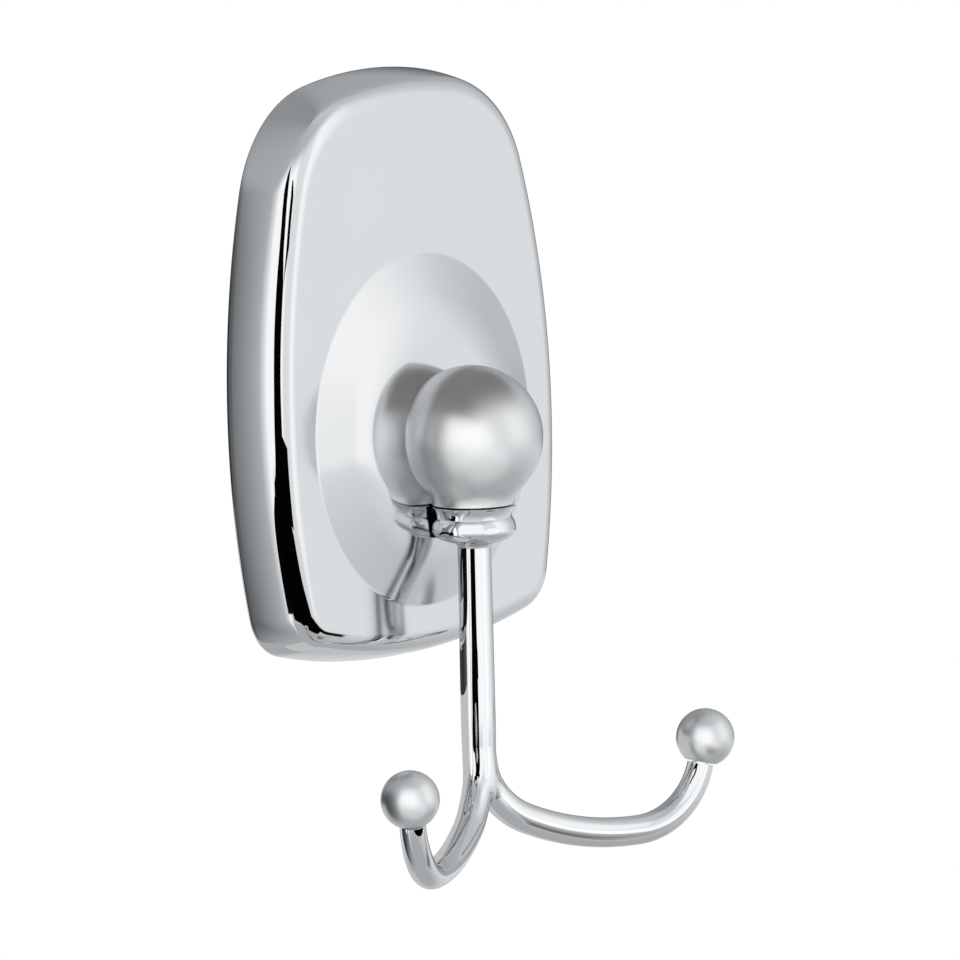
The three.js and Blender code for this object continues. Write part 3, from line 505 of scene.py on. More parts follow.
def plate_solid(name, wall, detail, side_steps, edge_steps, mound_steps):
    """The plate's outer form, or its hollow when moved in by the wall."""
    levels = plate_levels(wall, side_steps, edge_steps)
    if wall > 0:
        levels[0] = (levels[0][0], -2.0)
    rings = []
    for inset, out in levels:
        outline = plate_outline(inset, detail)
        rings.append(np.c_[outline[:, 0], np.full(len(outline), -out), outline[:, 1]])
    face_inset, face_out = levels[-1]
    guard = plate_outline(face_inset + FLAT_GUARD, detail)
    bearing = np.arctan2(guard[:, 1], guard[:, 0])

    def round_ring(radius, out):
        return np.c_[radius * np.cos(bearing), np.full(len(bearing), -out), radius * np.sin(bearing)]

    flat = np.c_[guard[:, 0], np.full(len(guard), -face_out), guard[:, 1]]
    foot = round_ring(MOUND_FOOT_RADIUS + FLAT_GUARD, face_out)
    rings.append(flat)
    for share in (0.25, 0.5, 0.75):
        rings.append(flat + (foot - flat) * share)
    rings.append(foot)
    for radius, out in mound_rows(wall, mound_steps):
        rings.append(round_ring(radius, out))
    top = MOUND_TOP - wall
    for radius in (MOUND_TOP_RADIUS - FLAT_GUARD, 9.0, 4.0):
        rings.append(round_ring(radius, top))
    count = len(bearing)
    points = np.concatenate(rings + [np.array([[0, -top, 0]])])
    faces = rings_to_faces(count, len(rings))
    faces.append(tuple(range(count)))
    last = (len(rings) - 1) * count
    faces += [(last + i, last + (i + 1) % count, len(points) - 1) for i in range(count)]
    return piece_from(name, points, faces)


def make_face_plate():
    plate = plate_solid("plate_cover", 0.0, 1.0, 10, 16, 22)
    carve(plate, plate_solid("plate_hollow", PLATE_WALL, 0.35, 3, 6, 8))
    inner, under = BRACKET_HALF_WIDTH + SEAT_GAP, BRACKET_HALF_HEIGHT + SEAT_GAP
    outer, over = inner + CATCH_WALL, under + CATCH_WALL
    catch = [(-outer, CATCH_FOOT), (-inner, CATCH_FOOT), (-inner, under), (inner, under), (inner, CATCH_FOOT),
             (outer, CATCH_FOOT), (outer, over), (-outer, over)]
    catch = prism("catch", catch, OUT_OF_WALL, BRACKET_SHEET + SEAT_GAP, PLATE_DEPTH - CATCH_SINK)
    carve(plate, catch, "UNION")
    at_set_screw = Matrix.Translation((0, -SET_SCREW_OUT, 0))
    boss_foot = -PLATE_BOTTOM + SET_SCREW_OUT * math.tan(BOSS_LEAN) + PLATE_WALL / 2
    carve(plate, place(cylinder("boss", BOSS_RADIUS, boss_foot, BOSS_TOP), at_set_screw), "UNION")
    key = HUB_KEY / 2 + BORE_GAP
    through = (PLATE_DEPTH - PLATE_WALL, MOUND_TOP + 2)
    carve(plate, block("key_hole", (-key, key), through, (HUB_Z - key, HUB_Z + key)))
    hole = cylinder("screw_hole", SET_SCREW_RADIUS + BORE_GAP, -PLATE_BOTTOM - 2, SCREW_HOLE_TOP)
    carve(plate, place(hole, at_set_screw))
    relief = [(0, COLLAR_BOTTOM), (SHANK_TOP_RADIUS, COLLAR_BOTTOM), (COLLAR_RELIEF, COLLAR_RELIEF_FOOT),
              (COLLAR_RELIEF, -HUB_NECK_LENGTH), (0, -HUB_NECK_LENGTH)]
    carve(plate, place(turned("relief", relief, 128), HANG))
    return dress(polish(plate, 24), plate_finish(), "hook_front", "face_plate")


# Hub ball and collar

def make_hub_ball():
    fillet_r = HUB_NECK_RADIUS + HUB_NECK_FILLET
    fillet_z = -math.sqrt((HUB_RADIUS + HUB_NECK_FILLET) ** 2 - fillet_r ** 2)
    touch = math.atan2(fillet_z, fillet_r)
    bore, bore_top = SPIGOT_RADIUS + BORE_GAP, -SPIGOT_REACH + SEAT_GAP
    profile = [(0, bore_top), (bore, bore_top), (bore, -HUB_NECK_LENGTH),
               (HUB_NECK_RADIUS - NECK_BREAK_WIDTH, -HUB_NECK_LENGTH),
               (HUB_NECK_RADIUS, -HUB_NECK_LENGTH + NECK_BREAK_HEIGHT)]
    for angle in np.linspace(math.pi, touch + math.pi, 14):
        across, up = HUB_NECK_FILLET * math.cos(angle), HUB_NECK_FILLET * math.sin(angle)
        profile.append((fillet_r + across, fillet_z + up))
    for angle in np.linspace(touch, math.pi / 2, 73)[1:-1]:
        profile.append((HUB_RADIUS * math.cos(angle), HUB_RADIUS * math.sin(angle)))
    profile.append((0, HUB_RADIUS))
    ball = place(turned("hub_ball_satin", profile, 128), HANG)
    span, key = HUB_RADIUS + 2, HUB_KEY / 2
    outs = (HUB_OUT - span, HUB_SEAT_OUT)
    carve(ball, block("behind", (-span, span), outs, (HUB_Z - span, HUB_Z + span)))
    key_out = MOUND_TOP - PLATE_WALL + SEAT_GAP
    outs = (key_out, HUB_OUT - HUB_KEY_SINK)
    carve(ball, block("key", (-key, key), outs, (HUB_Z - key, HUB_Z + key)), "UNION")
    hole = cylinder("hole", HUB_SCREW_RADIUS + BORE_GAP, key_out - 2, HUB_SEAT_OUT + HUB_SCREW_HOLE)
    carve(ball, place(hole, Matrix.Translation((0, 0, HUB_Z)) @ OUT_OF_WALL))
    return dress(polish(ball, 30), satin, "hook_front", "hub_ball")


def make_collar():
    bore, rise = SPIGOT_RADIUS + BORE_GAP, COLLAR_BEAD_Z - COLLAR_COVE_Z
    profile = [(bore, COLLAR_BOTTOM)]
    profile += bezier([(SHANK_TOP_RADIUS, COLLAR_BOTTOM), (SHANK_TOP_RADIUS, COLLAR_COVE_Z - rise / 6),
                       (COLLAR_COVE_RADIUS, COLLAR_COVE_Z)], 14)
    profile += bezier([(COLLAR_COVE_RADIUS, COLLAR_COVE_Z),
                       ((COLLAR_COVE_RADIUS + COLLAR_BEAD_RADIUS) / 2, COLLAR_COVE_Z + rise / 6),
                       (COLLAR_BEAD_RADIUS, COLLAR_BEAD_Z - rise / 2),
                       (COLLAR_BEAD_RADIUS, COLLAR_BEAD_Z)], 18)[1:]
    groove_lift = COLLAR_GROOVE_Z - COLLAR_BEAD_Z
    profile += bezier([(COLLAR_BEAD_RADIUS, COLLAR_BEAD_Z),
                       (COLLAR_BEAD_RADIUS, COLLAR_BEAD_Z + 0.6 * groove_lift),
                       (COLLAR_GROOVE_RADIUS, COLLAR_GROOVE_Z)], 12)[1:]
    profile += bezier([(COLLAR_GROOVE_RADIUS, COLLAR_GROOVE_Z),
                       (COLLAR_GROOVE_RADIUS, (COLLAR_GROOVE_Z + COLLAR_TOP) / 2),
                       (COLLAR_TOP_RADIUS, COLLAR_TOP - COLLAR_BREAK)], 12)[1:]
    profile += [(COLLAR_TOP_RADIUS - COLLAR_BREAK, COLLAR_TOP), (bore, COLLAR_TOP)]
    collar = place(turned("collar_turned", profile, 128, closed=True), HANG)
    return dress(polish(collar, 35), chrome, "hook_front", "collar_ring")


# Forked hook

def arm_points(steps=24):
    """(reach, height) rows down the shank's axis and along one arm, run on straight past both ends."""
    rows = [(0.0, SHANK_TOP + RUN_ON), (0.0, -SHANK_STRAIGHT_END)]
    reach, height, heading = 0.0, -SHANK_STRAIGHT_END, -math.pi / 2
    for radius, turn in ARM_ARCS:
        for share in np.linspace(0, 1, steps + 1)[1:]:
            h = heading + turn * share
            rows.append((reach + radius * (math.sin(h) - math.sin(heading)),
                         height + radius * (math.cos(heading) - math.cos(h))))
        reach, height = rows[-1]
        heading += turn
    end = (reach, height, heading)
    rows.append((reach + RUN_ON * math.cos(heading), height + RUN_ON * math.sin(heading)))
    return rows, end


ARM_ROWS, ARM_END = arm_points()


def arm_way(side):
    return Vector((side * math.sin(ARM_SPREAD), -math.cos(ARM_SPREAD), 0))


def arm_distance(points, side):
    """Distance from one arm's skin, and how far along the arm the nearest place is."""
    way = arm_way(side)
    along = points[:, 0] * way.x + points[:, 1] * way.y
    across = points[:, 0] * -way.y + points[:, 1] * way.x
    height = points[:, 2]
    best = np.full(len(points), 1e9)
    where = np.zeros(len(points))

    def offer(near_along, near_height, travelled):
        nonlocal best, where
        d = np.sqrt((along - near_along) ** 2 + (height - near_height) ** 2 + across ** 2)
        closer = d < best
        best = np.where(closer, d, best)
        where = np.where(closer, travelled, where)

    z = np.clip(height, -SHANK_STRAIGHT_END, SHANK_TOP + RUN_ON)
    offer(0 * z, z, -SHANK_STRAIGHT_END - z)
    reach, low, heading, travelled = 0.0, -SHANK_STRAIGHT_END, -math.pi / 2, 0.0
    for radius, turn in ARM_ARCS:
        centre = (reach - radius * math.sin(heading), low + radius * math.cos(heading))
        bearing = np.arctan2(along - centre[0], -(height - centre[1]))
        turned_by = np.clip(np.mod(bearing - heading + math.pi, 2 * math.pi) - math.pi, 0, turn)
        h = heading + turned_by
        offer(centre[0] + radius * np.sin(h), centre[1] - radius * np.cos(h), travelled + radius * turned_by)
        reach = centre[0] + radius * math.sin(heading + turn)
        low = centre[1] - radius * math.cos(heading + turn)
        heading += turn
        travelled += radius * turn
    step = np.clip((along - reach) * math.cos(heading) + (height - low) * math.sin(heading), 0, RUN_ON)
    offer(reach + step * math.cos(heading), low + step * math.sin(heading), travelled + step)
    return best, where


def fork_field(points):
    """Signed distance of the fork: two arms that share the shank and melt together where they part."""
    fields, apart = [], None
    for side in (1, -1):
        distance, where = arm_distance(points, side)
        share = np.clip((where + TAPER_START) / TAPER_LENGTH, 0, 1)
        share = share * share * (3 - 2 * share)
        upper = np.clip(-where / (SHANK_STRAIGHT_END + SHANK_TOP), 0, 1)
        radius = SHANK_RADIUS + (ARM_RADIUS - SHANK_RADIUS) * share
        radius += (SHANK_TOP_RADIUS - SHANK_RADIUS) * upper
        apart = np.maximum(where, 0) if apart is None else np.minimum(apart, np.maximum(where, 0))
        fields.append(distance - radius)
    a, b = fields
    together = np.exp(-(apart / MELT_REACH) ** 2)
    melted = np.maximum(MELT - np.abs(a - b), 0) / MELT
    return np.minimum(a, b) - melted ** 2 * MELT / 4 + together * MELT / 4


def field_slope(points):
    slope = np.zeros_like(points)
    for axis in range(3):
        step = np.zeros(3)
        step[axis] = SKIN
        slope[:, axis] = (fork_field(points + step) - fork_field(points - step)) / (2 * SKIN)
    return slope


def coat_and_put(tree, given, put, geometry, name):
    """The end of each tree: plain geometry in its finish."""
    real, coat = tree.nodes.new("GeometryNodeRealizeInstances"), tree.nodes.new("GeometryNodeSetMaterial")
    link(tree, geometry, real.inputs["Geometry"])
    link(tree, real.outputs["Geometry"], coat.inputs["Geometry"])
    link(tree, given.outputs["Finish"], coat.inputs["Material"])
    link(tree, coat.outputs["Geometry"], put.inputs[name])


def sweep_tree():
    """Sweeps a round bar along a path, for the two arms of the fork."""
    tree = bpy.data.node_groups.new("bar_along_path", "GeometryNodeTree")
    add_inputs(tree, "Geometry", ("Path",))
    add_inputs(tree, "Float", ("Bar Radius", 0.003))
    add_inputs(tree, "Int", ("Sides", 32))
    add_inputs(tree, "Material", ("Finish",))
    add_outputs(tree, "Geometry", "Bar")
    given, put = tree.nodes.new("NodeGroupInput"), tree.nodes.new("NodeGroupOutput")
    to_curve = tree.nodes.new("GeometryNodeMeshToCurve")
    ring = tree.nodes.new("GeometryNodeCurvePrimitiveCircle")
    sweep = tree.nodes.new("GeometryNodeCurveToMesh")
    sweep.inputs["Fill Caps"].default_value = True
    link(tree, given.outputs["Path"], to_curve.inputs["Mesh"])
    link(tree, given.outputs["Sides"], ring.inputs["Resolution"])
    link(tree, given.outputs["Bar Radius"], ring.inputs["Radius"])
    link(tree, to_curve.outputs["Curve"], sweep.inputs["Curve"])
    link(tree, ring.outputs["Curve"], sweep.inputs["Profile Curve"])
    coat_and_put(tree, given, put, sweep.outputs["Mesh"], "Bar")
    return tree


def grow(obj, tree, **values):
    """Runs a Geometry Nodes tree on a piece with the given inputs and keeps the plain mesh."""
    modifier = obj.modifiers.new(tree.name, "NODES")
    modifier.node_group = tree
    for item in tree.interface.items_tree:
        key = item.name.replace(" ", "_").lower()
        if item.item_type == "SOCKET" and item.in_out == "INPUT" and key in values:
            modifier[item.identifier] = values[key]
    return plain(obj)


def swept_bar(name, path, radius, finish):
    obj = bpy.data.objects.new(name, bpy.data.meshes.new(name))
    scene.collection.objects.link(obj)
    edges = [(i, i + 1) for i in range(len(path) - 1)]
    obj.data.from_pydata([tuple(Vector(p) * MM) for p in path], edges, [])
    return grow(obj, bar_along_path, bar_radius=radius * MM, finish=finish)


def arm_frame(side):
    """The frame at an arm's end, Z ahead along the arm, in the hook's own upright frame."""
    reach, height, heading = ARM_END
    way = arm_way(side)
    ahead = way * math.cos(heading) + Vector((0, 0, math.sin(heading)))
    turn = ahead.to_track_quat("Z", "Y").to_matrix().to_4x4()
    return Matrix.Translation(way * reach + Vector((0, 0, height))) @ turn


def smooth_from_field(fork):
    """Gives the melted skin the exact normals of its field; the cut ends keep their own."""
    mesh = fork.data
    points = np.empty(len(mesh.vertices) * 3)
    mesh.vertices.foreach_get("co", points)
    points = points.reshape(-1, 3) / MM
    slope = field_slope(points)
    slope /= np.maximum(np.sqrt((slope ** 2).sum(1)), 1e-9)[:, None]
    on_skin = np.abs(fork_field(points)) < SKIN
    corner_vertex = np.empty(len(mesh.loops), int)
    mesh.loops.foreach_get("vertex_index", corner_vertex)
    normals = np.empty(len(mesh.loops) * 3)
    mesh.corner_normals.foreach_get("vector", normals)
    normals = normals.reshape(-1, 3)
    exact = slope[corner_vertex]
    use = on_skin[corner_vertex] & ((exact * normals).sum(1) > 0.9)
    normals[use] = exact[use]
    mesh.normals_split_custom_set([tuple(n) for n in normals])


def make_fork():
    bars = []
    for side in (1, -1):
        way = arm_way(side)
        path = [tuple(way * reach + Vector((0, 0, height))) for reach, height in ARM_ROWS]
        bars.append(swept_bar("arm_bar", path, ARM_RADIUS, chrome))
    fork = carve(bars[0], bars[1], "UNION")
    fork.name = "fork_forged"
    remesh = fork.modifiers.new("even", "REMESH")
    remesh.mode = "VOXEL"
    remesh.voxel_size = FORK_GRAIN * MM
    plain(fork)
    points = np.empty(len(fork.data.vertices) * 3)
    fork.data.vertices.foreach_get("co", points)
    points = points.reshape(-1, 3) / MM
    for _ in range(4):
        slope = field_slope(points)
        length = np.maximum(np.sqrt((slope ** 2).sum(1)), 0.2)
        points -= slope / length[:, None] ** 2 * np.clip(fork_field(points), -1, 1)[:, None]
    fork.data.vertices.foreach_set("co", (points * MM).ravel())
    fork.data.update()
    carve(fork, cylinder("shank_trim", 2 * SHANK_RADIUS, SHANK_TOP, SHANK_TOP + 6))
    carve(fork, cylinder("spigot", SPIGOT_RADIUS, SHANK_TOP - 2, -SPIGOT_REACH, 32), "UNION")
    for side in (1, -1):
        carve(fork, place(cylinder("arm_trim", 2 * ARM_RADIUS, 0, 6), arm_frame(side)))
        pin = cylinder("pin", TIP_SPIGOT_RADIUS, -2, TIP_SPIGOT_LENGTH, 32)
        carve(fork, place(pin, arm_frame(side)), "UNION")
    polish(fork, 40)
    smooth_from_field(fork)
    place(fork, HANG)
    return dress(fork, chrome, "hook_front", "hook_fork")


def make_tip(side, name, node):
    hole, hole_end = TIP_SPIGOT_RADIUS + BORE_GAP, TIP_SPIGOT_LENGTH + SEAT_GAP
    centre = TIP_SEAM + SEAT_GAP
    start = -math.asin(TIP_SEAM / TIP_RADIUS)
    profile = [(0, hole_end), (hole, hole_end), (hole, SEAT_GAP)]
    for angle in np.linspace(start, math.pi / 2, 49)[:-1]:
        profile.append((TIP_RADIUS * math.cos(angle), centre + TIP_RADIUS * math.sin(angle)))
    profile.append((0, centre + TIP_RADIUS))
    tip = turned(name, profile, 80)
    place(tip, HANG @ arm_frame(side))
    return dress(polish(tip, 40), satin, "hook_front", node)


# Fixings behind the plate

RIDGE_FLANK = (0.1, 0.75)


def ridged_rod_tree():
    """A rod with ridges, its point at the origin: a thread where the twist is 1, ribs where it is 0."""
    tree = bpy.data.node_groups.new("ridged_rod", "GeometryNodeTree")
    add_inputs(tree, "Float", ("Length", 0.03), ("Core Radius", 0.0015), ("Crest Radius", 0.002),
               ("Pitch", 0.0015), ("Twist", 1.0), ("Point Length", 0.005), ("Point Share", 0.05))
    add_inputs(tree, "Int", ("Rings", 200), ("Sides", 32))
    add_inputs(tree, "Material", ("Finish",))
    add_outputs(tree, "Geometry", "Rod")
    given, put = tree.nodes.new("NodeGroupInput"), tree.nodes.new("NodeGroupOutput")
    length, core, crest, pitch, twist, point, point_share, rings, sides = given.outputs[:9]
    rod = tree.nodes.new("GeometryNodeMeshCylinder")
    rod.fill_type = "TRIANGLE_FAN"
    for source, target in ((sides, "Vertices"), (rings, "Side Segments"),
                           (core, "Radius"), (length, "Depth")):
        link(tree, source, rod.inputs[target])
    spot = tree.nodes.new("GeometryNodeInputPosition")
    x, y, z = split(tree, spot.outputs["Position"])
    height = math_node(tree, "ADD", z, math_node(tree, "MULTIPLY", length, 0.5))
    angle = math_node(tree, "DIVIDE", math_node(tree, "ARCTAN2", y, x), 2 * math.pi)
    turns = math_node(tree, "DIVIDE", height, pitch)
    turns = math_node(tree, "SUBTRACT", turns, math_node(tree, "MULTIPLY", angle, twist))
    doubled = math_node(tree, "MULTIPLY", math_node(tree, "FRACT", turns), 2.0)
    wave = math_node(tree, "ABSOLUTE", math_node(tree, "SUBTRACT", doubled, 1.0))
    ridge = map_range(tree, wave, *RIDGE_FLANK, 1.0, 0.0, smooth=False)
    left = math_node(tree, "SUBTRACT", length, height)
    run_out = math_node(tree, "MINIMUM", math_node(tree, "DIVIDE", left, pitch), 1.0)
    depth = math_node(tree, "SUBTRACT", crest, core)
    rise = math_node(tree, "MULTIPLY", math_node(tree, "MULTIPLY", depth, ridge), run_out)
    swell = math_node(tree, "DIVIDE", math_node(tree, "ADD", core, rise), core)
    to_point = math_node(tree, "MINIMUM", math_node(tree, "DIVIDE", height, point), 1.0)
    scale = math_node(tree, "MULTIPLY", swell, blend(tree, to_point, point_share, 1.0))
    joined, moved = tree.nodes.new("ShaderNodeCombineXYZ"), tree.nodes.new("GeometryNodeSetPosition")
    link(tree, math_node(tree, "MULTIPLY", x, scale), joined.inputs["X"])
    link(tree, math_node(tree, "MULTIPLY", y, scale), joined.inputs["Y"])
    link(tree, height, joined.inputs["Z"])
    link(tree, rod.outputs["Mesh"], moved.inputs["Geometry"])
    link(tree, joined.outputs["Vector"], moved.inputs["Position"])
    coat_and_put(tree, given, put, moved.outputs["Geometry"], "Rod")
    return tree


def ridged(name, finish, length, core, crest, pitch, twist, point, point_share, rings_per_pitch=12):
    obj = bpy.data.objects.new(name, bpy.data.meshes.new(name))
    scene.collection.objects.link(obj)
    return grow(obj, ridged_rod, length=length * MM, core_radius=core * MM, crest_radius=crest * MM,
                pitch=pitch * MM, twist=twist, point_length=point * MM, point_share=point_share,
                rings=int(length / pitch * rings_per_pitch), finish=finish)


def cross_outline(reach, half_width):
    r, w = reach, half_width
    return [(-w, -r), (w, -r), (w, -w), (r, -w), (r, w), (w, w), (w, r), (-w, r), (-w, w), (-r, w), (-r, -w),
            (-w, -w)]


def screw_with_head(name, length, core, crest, pitch, point, point_share, head_radius, head_height):
    """A cross-head screw along Z with its point at the origin and its head's seat at its length."""
    screw = ridged(name, zinc, length + HEAD_BITE, core, crest, pitch, 1.0, point, point_share)
    edge = head_height * HEAD_EDGE_SHARE
    profile = [(0, length), (head_radius - HEAD_BREAK, length), (head_radius, length + HEAD_BREAK)]
    for turn in np.linspace(0, math.pi / 2, 12):
        profile.append((head_radius * math.cos(turn), length + edge + (head_height - edge) * math.sin(turn)))
    profile[-1] = (0, length + head_height)
    carve(screw, turned("head", profile, 64), "UNION")
    recess = cross_outline(RECESS_REACH, RECESS_HALF_WIDTH)
    top = length + head_height
    carve(screw, prism("recess", recess, Matrix.Identity(4), top - RECESS_DEPTH, top + 1))
    return polish(screw, 28)


def make_wall_screw(place_name, height):
    seat = BRACKET_SHEET + SEAT_GAP
    screw = screw_with_head("wall_screw_" + place_name + "_threaded", WALL_SCREW_LENGTH, WALL_SCREW_CORE,
                            WALL_SCREW_RADIUS, WALL_SCREW_PITCH, WALL_SCREW_POINT, WALL_SCREW_POINT_SHARE,
                            WALL_SCREW_HEAD_RADIUS, WALL_SCREW_HEAD_HEIGHT)
    place(screw, Matrix.Translation((0, WALL_SCREW_LENGTH - seat, height)) @ OUT_OF_WALL)
    return dress(screw, zinc, "wall_mount", "wall_screw_" + place_name)


def make_hub_screw():
    seat = MOUND_TOP - PLATE_WALL - SEAT_GAP - FLAT_WASHER_THICKNESS - LOCK_WASHER_THICKNESS - 2 * SEAT_GAP
    tip = HUB_SEAT_OUT - SEAT_SHOWN + HUB_SCREW_HOLE
    screw = screw_with_head("hub_screw_threaded", tip - seat, HUB_SCREW_CORE, HUB_SCREW_RADIUS,
                            HUB_SCREW_PITCH, HUB_SCREW_POINT, HUB_SCREW_POINT_SHARE,
                            HUB_SCREW_HEAD_RADIUS, HUB_SCREW_HEAD_HEIGHT)
    place(screw, Matrix.Translation((0, -tip, HUB_Z)) @ INTO_WALL)
    return dress(screw, zinc, "hook_front", "hub_screw")


def make_set_screw():
    tip = -BRACKET_HALF_HEIGHT - SEAT_GAP
    length = tip - SET_SCREW_FOOT
    screw = ridged("set_screw_threaded", zinc, length, SET_SCREW_CORE, SET_SCREW_RADIUS, SET_SCREW_PITCH, 1.0,
                   SET_SCREW_POINT, SET_SCREW_POINT_SHARE)
    turns = [math.pi / 3 * i for i in range(6)]
    key = [(SET_SCREW_KEY_RADIUS * math.cos(turn), SET_SCREW_KEY_RADIUS * math.sin(turn)) for turn in turns]
    carve(screw, prism("key", key, Matrix.Identity(4), length - SET_SCREW_KEY_DEPTH, length + 1))
    place(polish(screw, 28), Matrix.Translation((0, -SET_SCREW_OUT, tip)) @ Matrix.Rotation(math.pi, 4, "X"))
    return dress(screw, zinc, "set_screw_body", "set_screw")


def make_anchor(place_name, height):
    """A ribbed plug in the wall, split from its far end and bored for the screw."""
    length, radius = ANCHOR_LENGTH, ANCHOR_RADIUS
    split_top = length * ANCHOR_SPLIT_SHARE
    anchor = ridged("anchor_" + place_name + "_ribbed", nylon, length, ANCHOR_CORE, radius, ANCHOR_PITCH, 0.0,
                    split_top, ANCHOR_FAR_SHARE, 16)
    low, eased = length - ANCHOR_RIM, radius - ANCHOR_RIM_BREAK
    rim = [(0, low), (eased, low), (radius, low + ANCHOR_RIM_BREAK), (radius, length - ANCHOR_RIM_BREAK),
           (eased, length), (0, length)]
    carve(anchor, turned("rim", rim, 64), "UNION")
    carve(anchor, cylinder("bore", WALL_SCREW_RADIUS + BORE_GAP, -1, length + 1))
    half = ANCHOR_SPLIT / 2
    slit = [(-2 * radius, -half), (2 * radius, -half), (2 * radius, half), (-2 * radius, half)]
    carve(anchor, prism("slit", slit, Matrix.Identity(4), -1, split_top))
    place(polish(anchor, 28), Matrix.Translation((0, ANCHOR_SUNK + length, height)) @ OUT_OF_WALL)
    return dress(anchor, nylon, "wall_mount", "wall_anchor_" + place_name)


def rounded_path(corners, steps=8):
    """A closed outline from (x, y, corner radius) rows."""
    outline = []
    for i, (x, y, radius) in enumerate(corners):
        here = np.array([x, y])
        before, after = np.array(corners[i - 1][:2]), np.array(corners[(i + 1) % len(corners)][:2])
        back, ahead = before - here, after - here
        back, ahead = back / np.hypot(*back), ahead / np.hypot(*ahead)
        outline += bezier([here + back * radius, here, here + ahead * radius], steps)
    return outline


def make_bracket():
    """A stamped channel with rounded bends and two slots for the wall screws."""
    high, flange, sheet = BRACKET_HALF_HEIGHT, BRACKET_FLANGE, BRACKET_SHEET
    inside, outer, inner, lip = high - sheet, BRACKET_BEND, BRACKET_INNER_BEND, BRACKET_LIP
    section = rounded_path([
        (0, -high, outer), (flange, -high, lip), (flange, -inside, lip), (sheet, -inside, inner),
        (sheet, inside, inner), (flange, inside, lip), (flange, high, lip), (0, high, outer)])
    across = Matrix(((0, 0, -1), (-1, 0, 0), (0, 1, 0))).to_4x4()
    bracket = prism("bracket_stamped", section, across, -BRACKET_HALF_WIDTH, BRACKET_HALF_WIDTH)
    edges = bracket.modifiers.new("edges", "BEVEL")
    edges.width, edges.segments = BRACKET_BREAK * MM, 3
    edges.limit_method, edges.angle_limit = "ANGLE", math.radians(60)
    plain(bracket)
    straight, radius = (SLOT_LENGTH - SLOT_WIDTH) / 2, SLOT_WIDTH / 2
    for height in (SCREW_HEIGHT, -SCREW_HEIGHT):
        at_screw = Matrix.Translation((0, 0, height)) @ OUT_OF_WALL
        for grown, low in ((0.0, -1.0), (BRACKET_BREAK, sheet - BRACKET_BREAK)):
            slot = np.concatenate([arc((0, straight), radius + grown, 0, math.pi, 24),
                                   arc((0, -straight), radius + grown, math.pi, 2 * math.pi, 24)])
            carve(bracket, prism("slot", slot.tolist(), at_screw, low, sheet + 1))
    return dress(polish(bracket, 35), zinc, "wall_mount", "wall_bracket")


def make_flat_washer():
    """A stamped ring, rounded on one rim by the punch."""
    bore, radius, soft = HUB_SCREW_RADIUS + BORE_GAP, FLAT_WASHER_RADIUS, FLAT_WASHER_BREAK
    face = MOUND_TOP - PLATE_WALL - SEAT_GAP
    low = face - FLAT_WASHER_THICKNESS
    profile = [(bore, low + soft), (bore + soft, low), (radius - soft, low),
               (radius - soft / 3, low + soft / 3), (radius, low + soft), (radius, face - soft / 2),
               (radius - soft / 2, face), (bore + soft / 2, face), (bore, face - soft / 2)]
    washer = turned("flat_washer_stamped", profile, 96, closed=True)
    place(washer, Matrix.Translation((0, 0, HUB_Z)) @ OUT_OF_WALL)
    return dress(polish(washer, 50), zinc, "hook_front", "hub_flat_washer")


def make_lock_washer(steps=72):
    """A split ring whose ends stand apart, one a little higher than the other."""
    bore, radius, soft = HUB_SCREW_RADIUS + BORE_GAP, LOCK_WASHER_RADIUS, LOCK_WASHER_BREAK
    top = MOUND_TOP - PLATE_WALL - 2 * SEAT_GAP - FLAT_WASHER_THICKNESS
    low, high = top - LOCK_WASHER_THICKNESS, top - LOCK_WASHER_CLIMB
    section = [(bore, low + soft), (bore + soft, low), (radius - soft, low), (radius, low + soft),
               (radius, high - soft), (radius - soft, high), (bore + soft, high), (bore, high - soft)]
    start = LOCK_WASHER_SPLIT / (bore + radius)
    rings, count = [], len(section)
    for i in range(steps + 1):
        turn = start + (2 * math.pi - 2 * start) * i / steps
        for r, h in section:
            rings.append((r * math.cos(turn), r * math.sin(turn), h + LOCK_WASHER_CLIMB * i / steps))
    faces = rings_to_faces(count, steps + 1)
    faces += [tuple(range(count)), tuple(range(steps * count, (steps + 1) * count))]
    washer = piece_from("lock_washer_split", rings, faces)
    place(washer, Matrix.Translation((0, 0, HUB_Z)) @ OUT_OF_WALL)
    return dress(polish(washer, 40), zinc, "hook_front", "hub_lock_washer")


bar_along_path = sweep_tree()
make_face_plate()
make_hub_ball()
make_collar()
make_fork()
make_tip(1, "tip_ball_right_satin", "tip_ball_right")
make_tip(-1, "tip_ball_left_satin", "tip_ball_left")

ridged_rod = ridged_rod_tree()
make_bracket()
for height, place_name in ((SCREW_HEIGHT, "upper"), (-SCREW_HEIGHT, "lower")):
    make_wall_screw(place_name, height)
    make_anchor(place_name, height)
make_hub_screw()
make_flat_washer()
make_lock_washer()
make_set_screw()


# Studio

# The camera, fitted to the photograph, in pixels of its 960 x 960 frame
CAMERA_AZIMUTH, CAMERA_ELEVATION, CAMERA_ROLL = math.radians(-52.78), math.radians(6.25), math.radians(-2.56)
CAMERA_DISTANCE, PIXELS_PER_METRE = 4.016, 5483.0
ORIGIN_PIXEL, HALF_FRAME, SENSOR_WIDTH = (370.44, 427.18), 480, 36

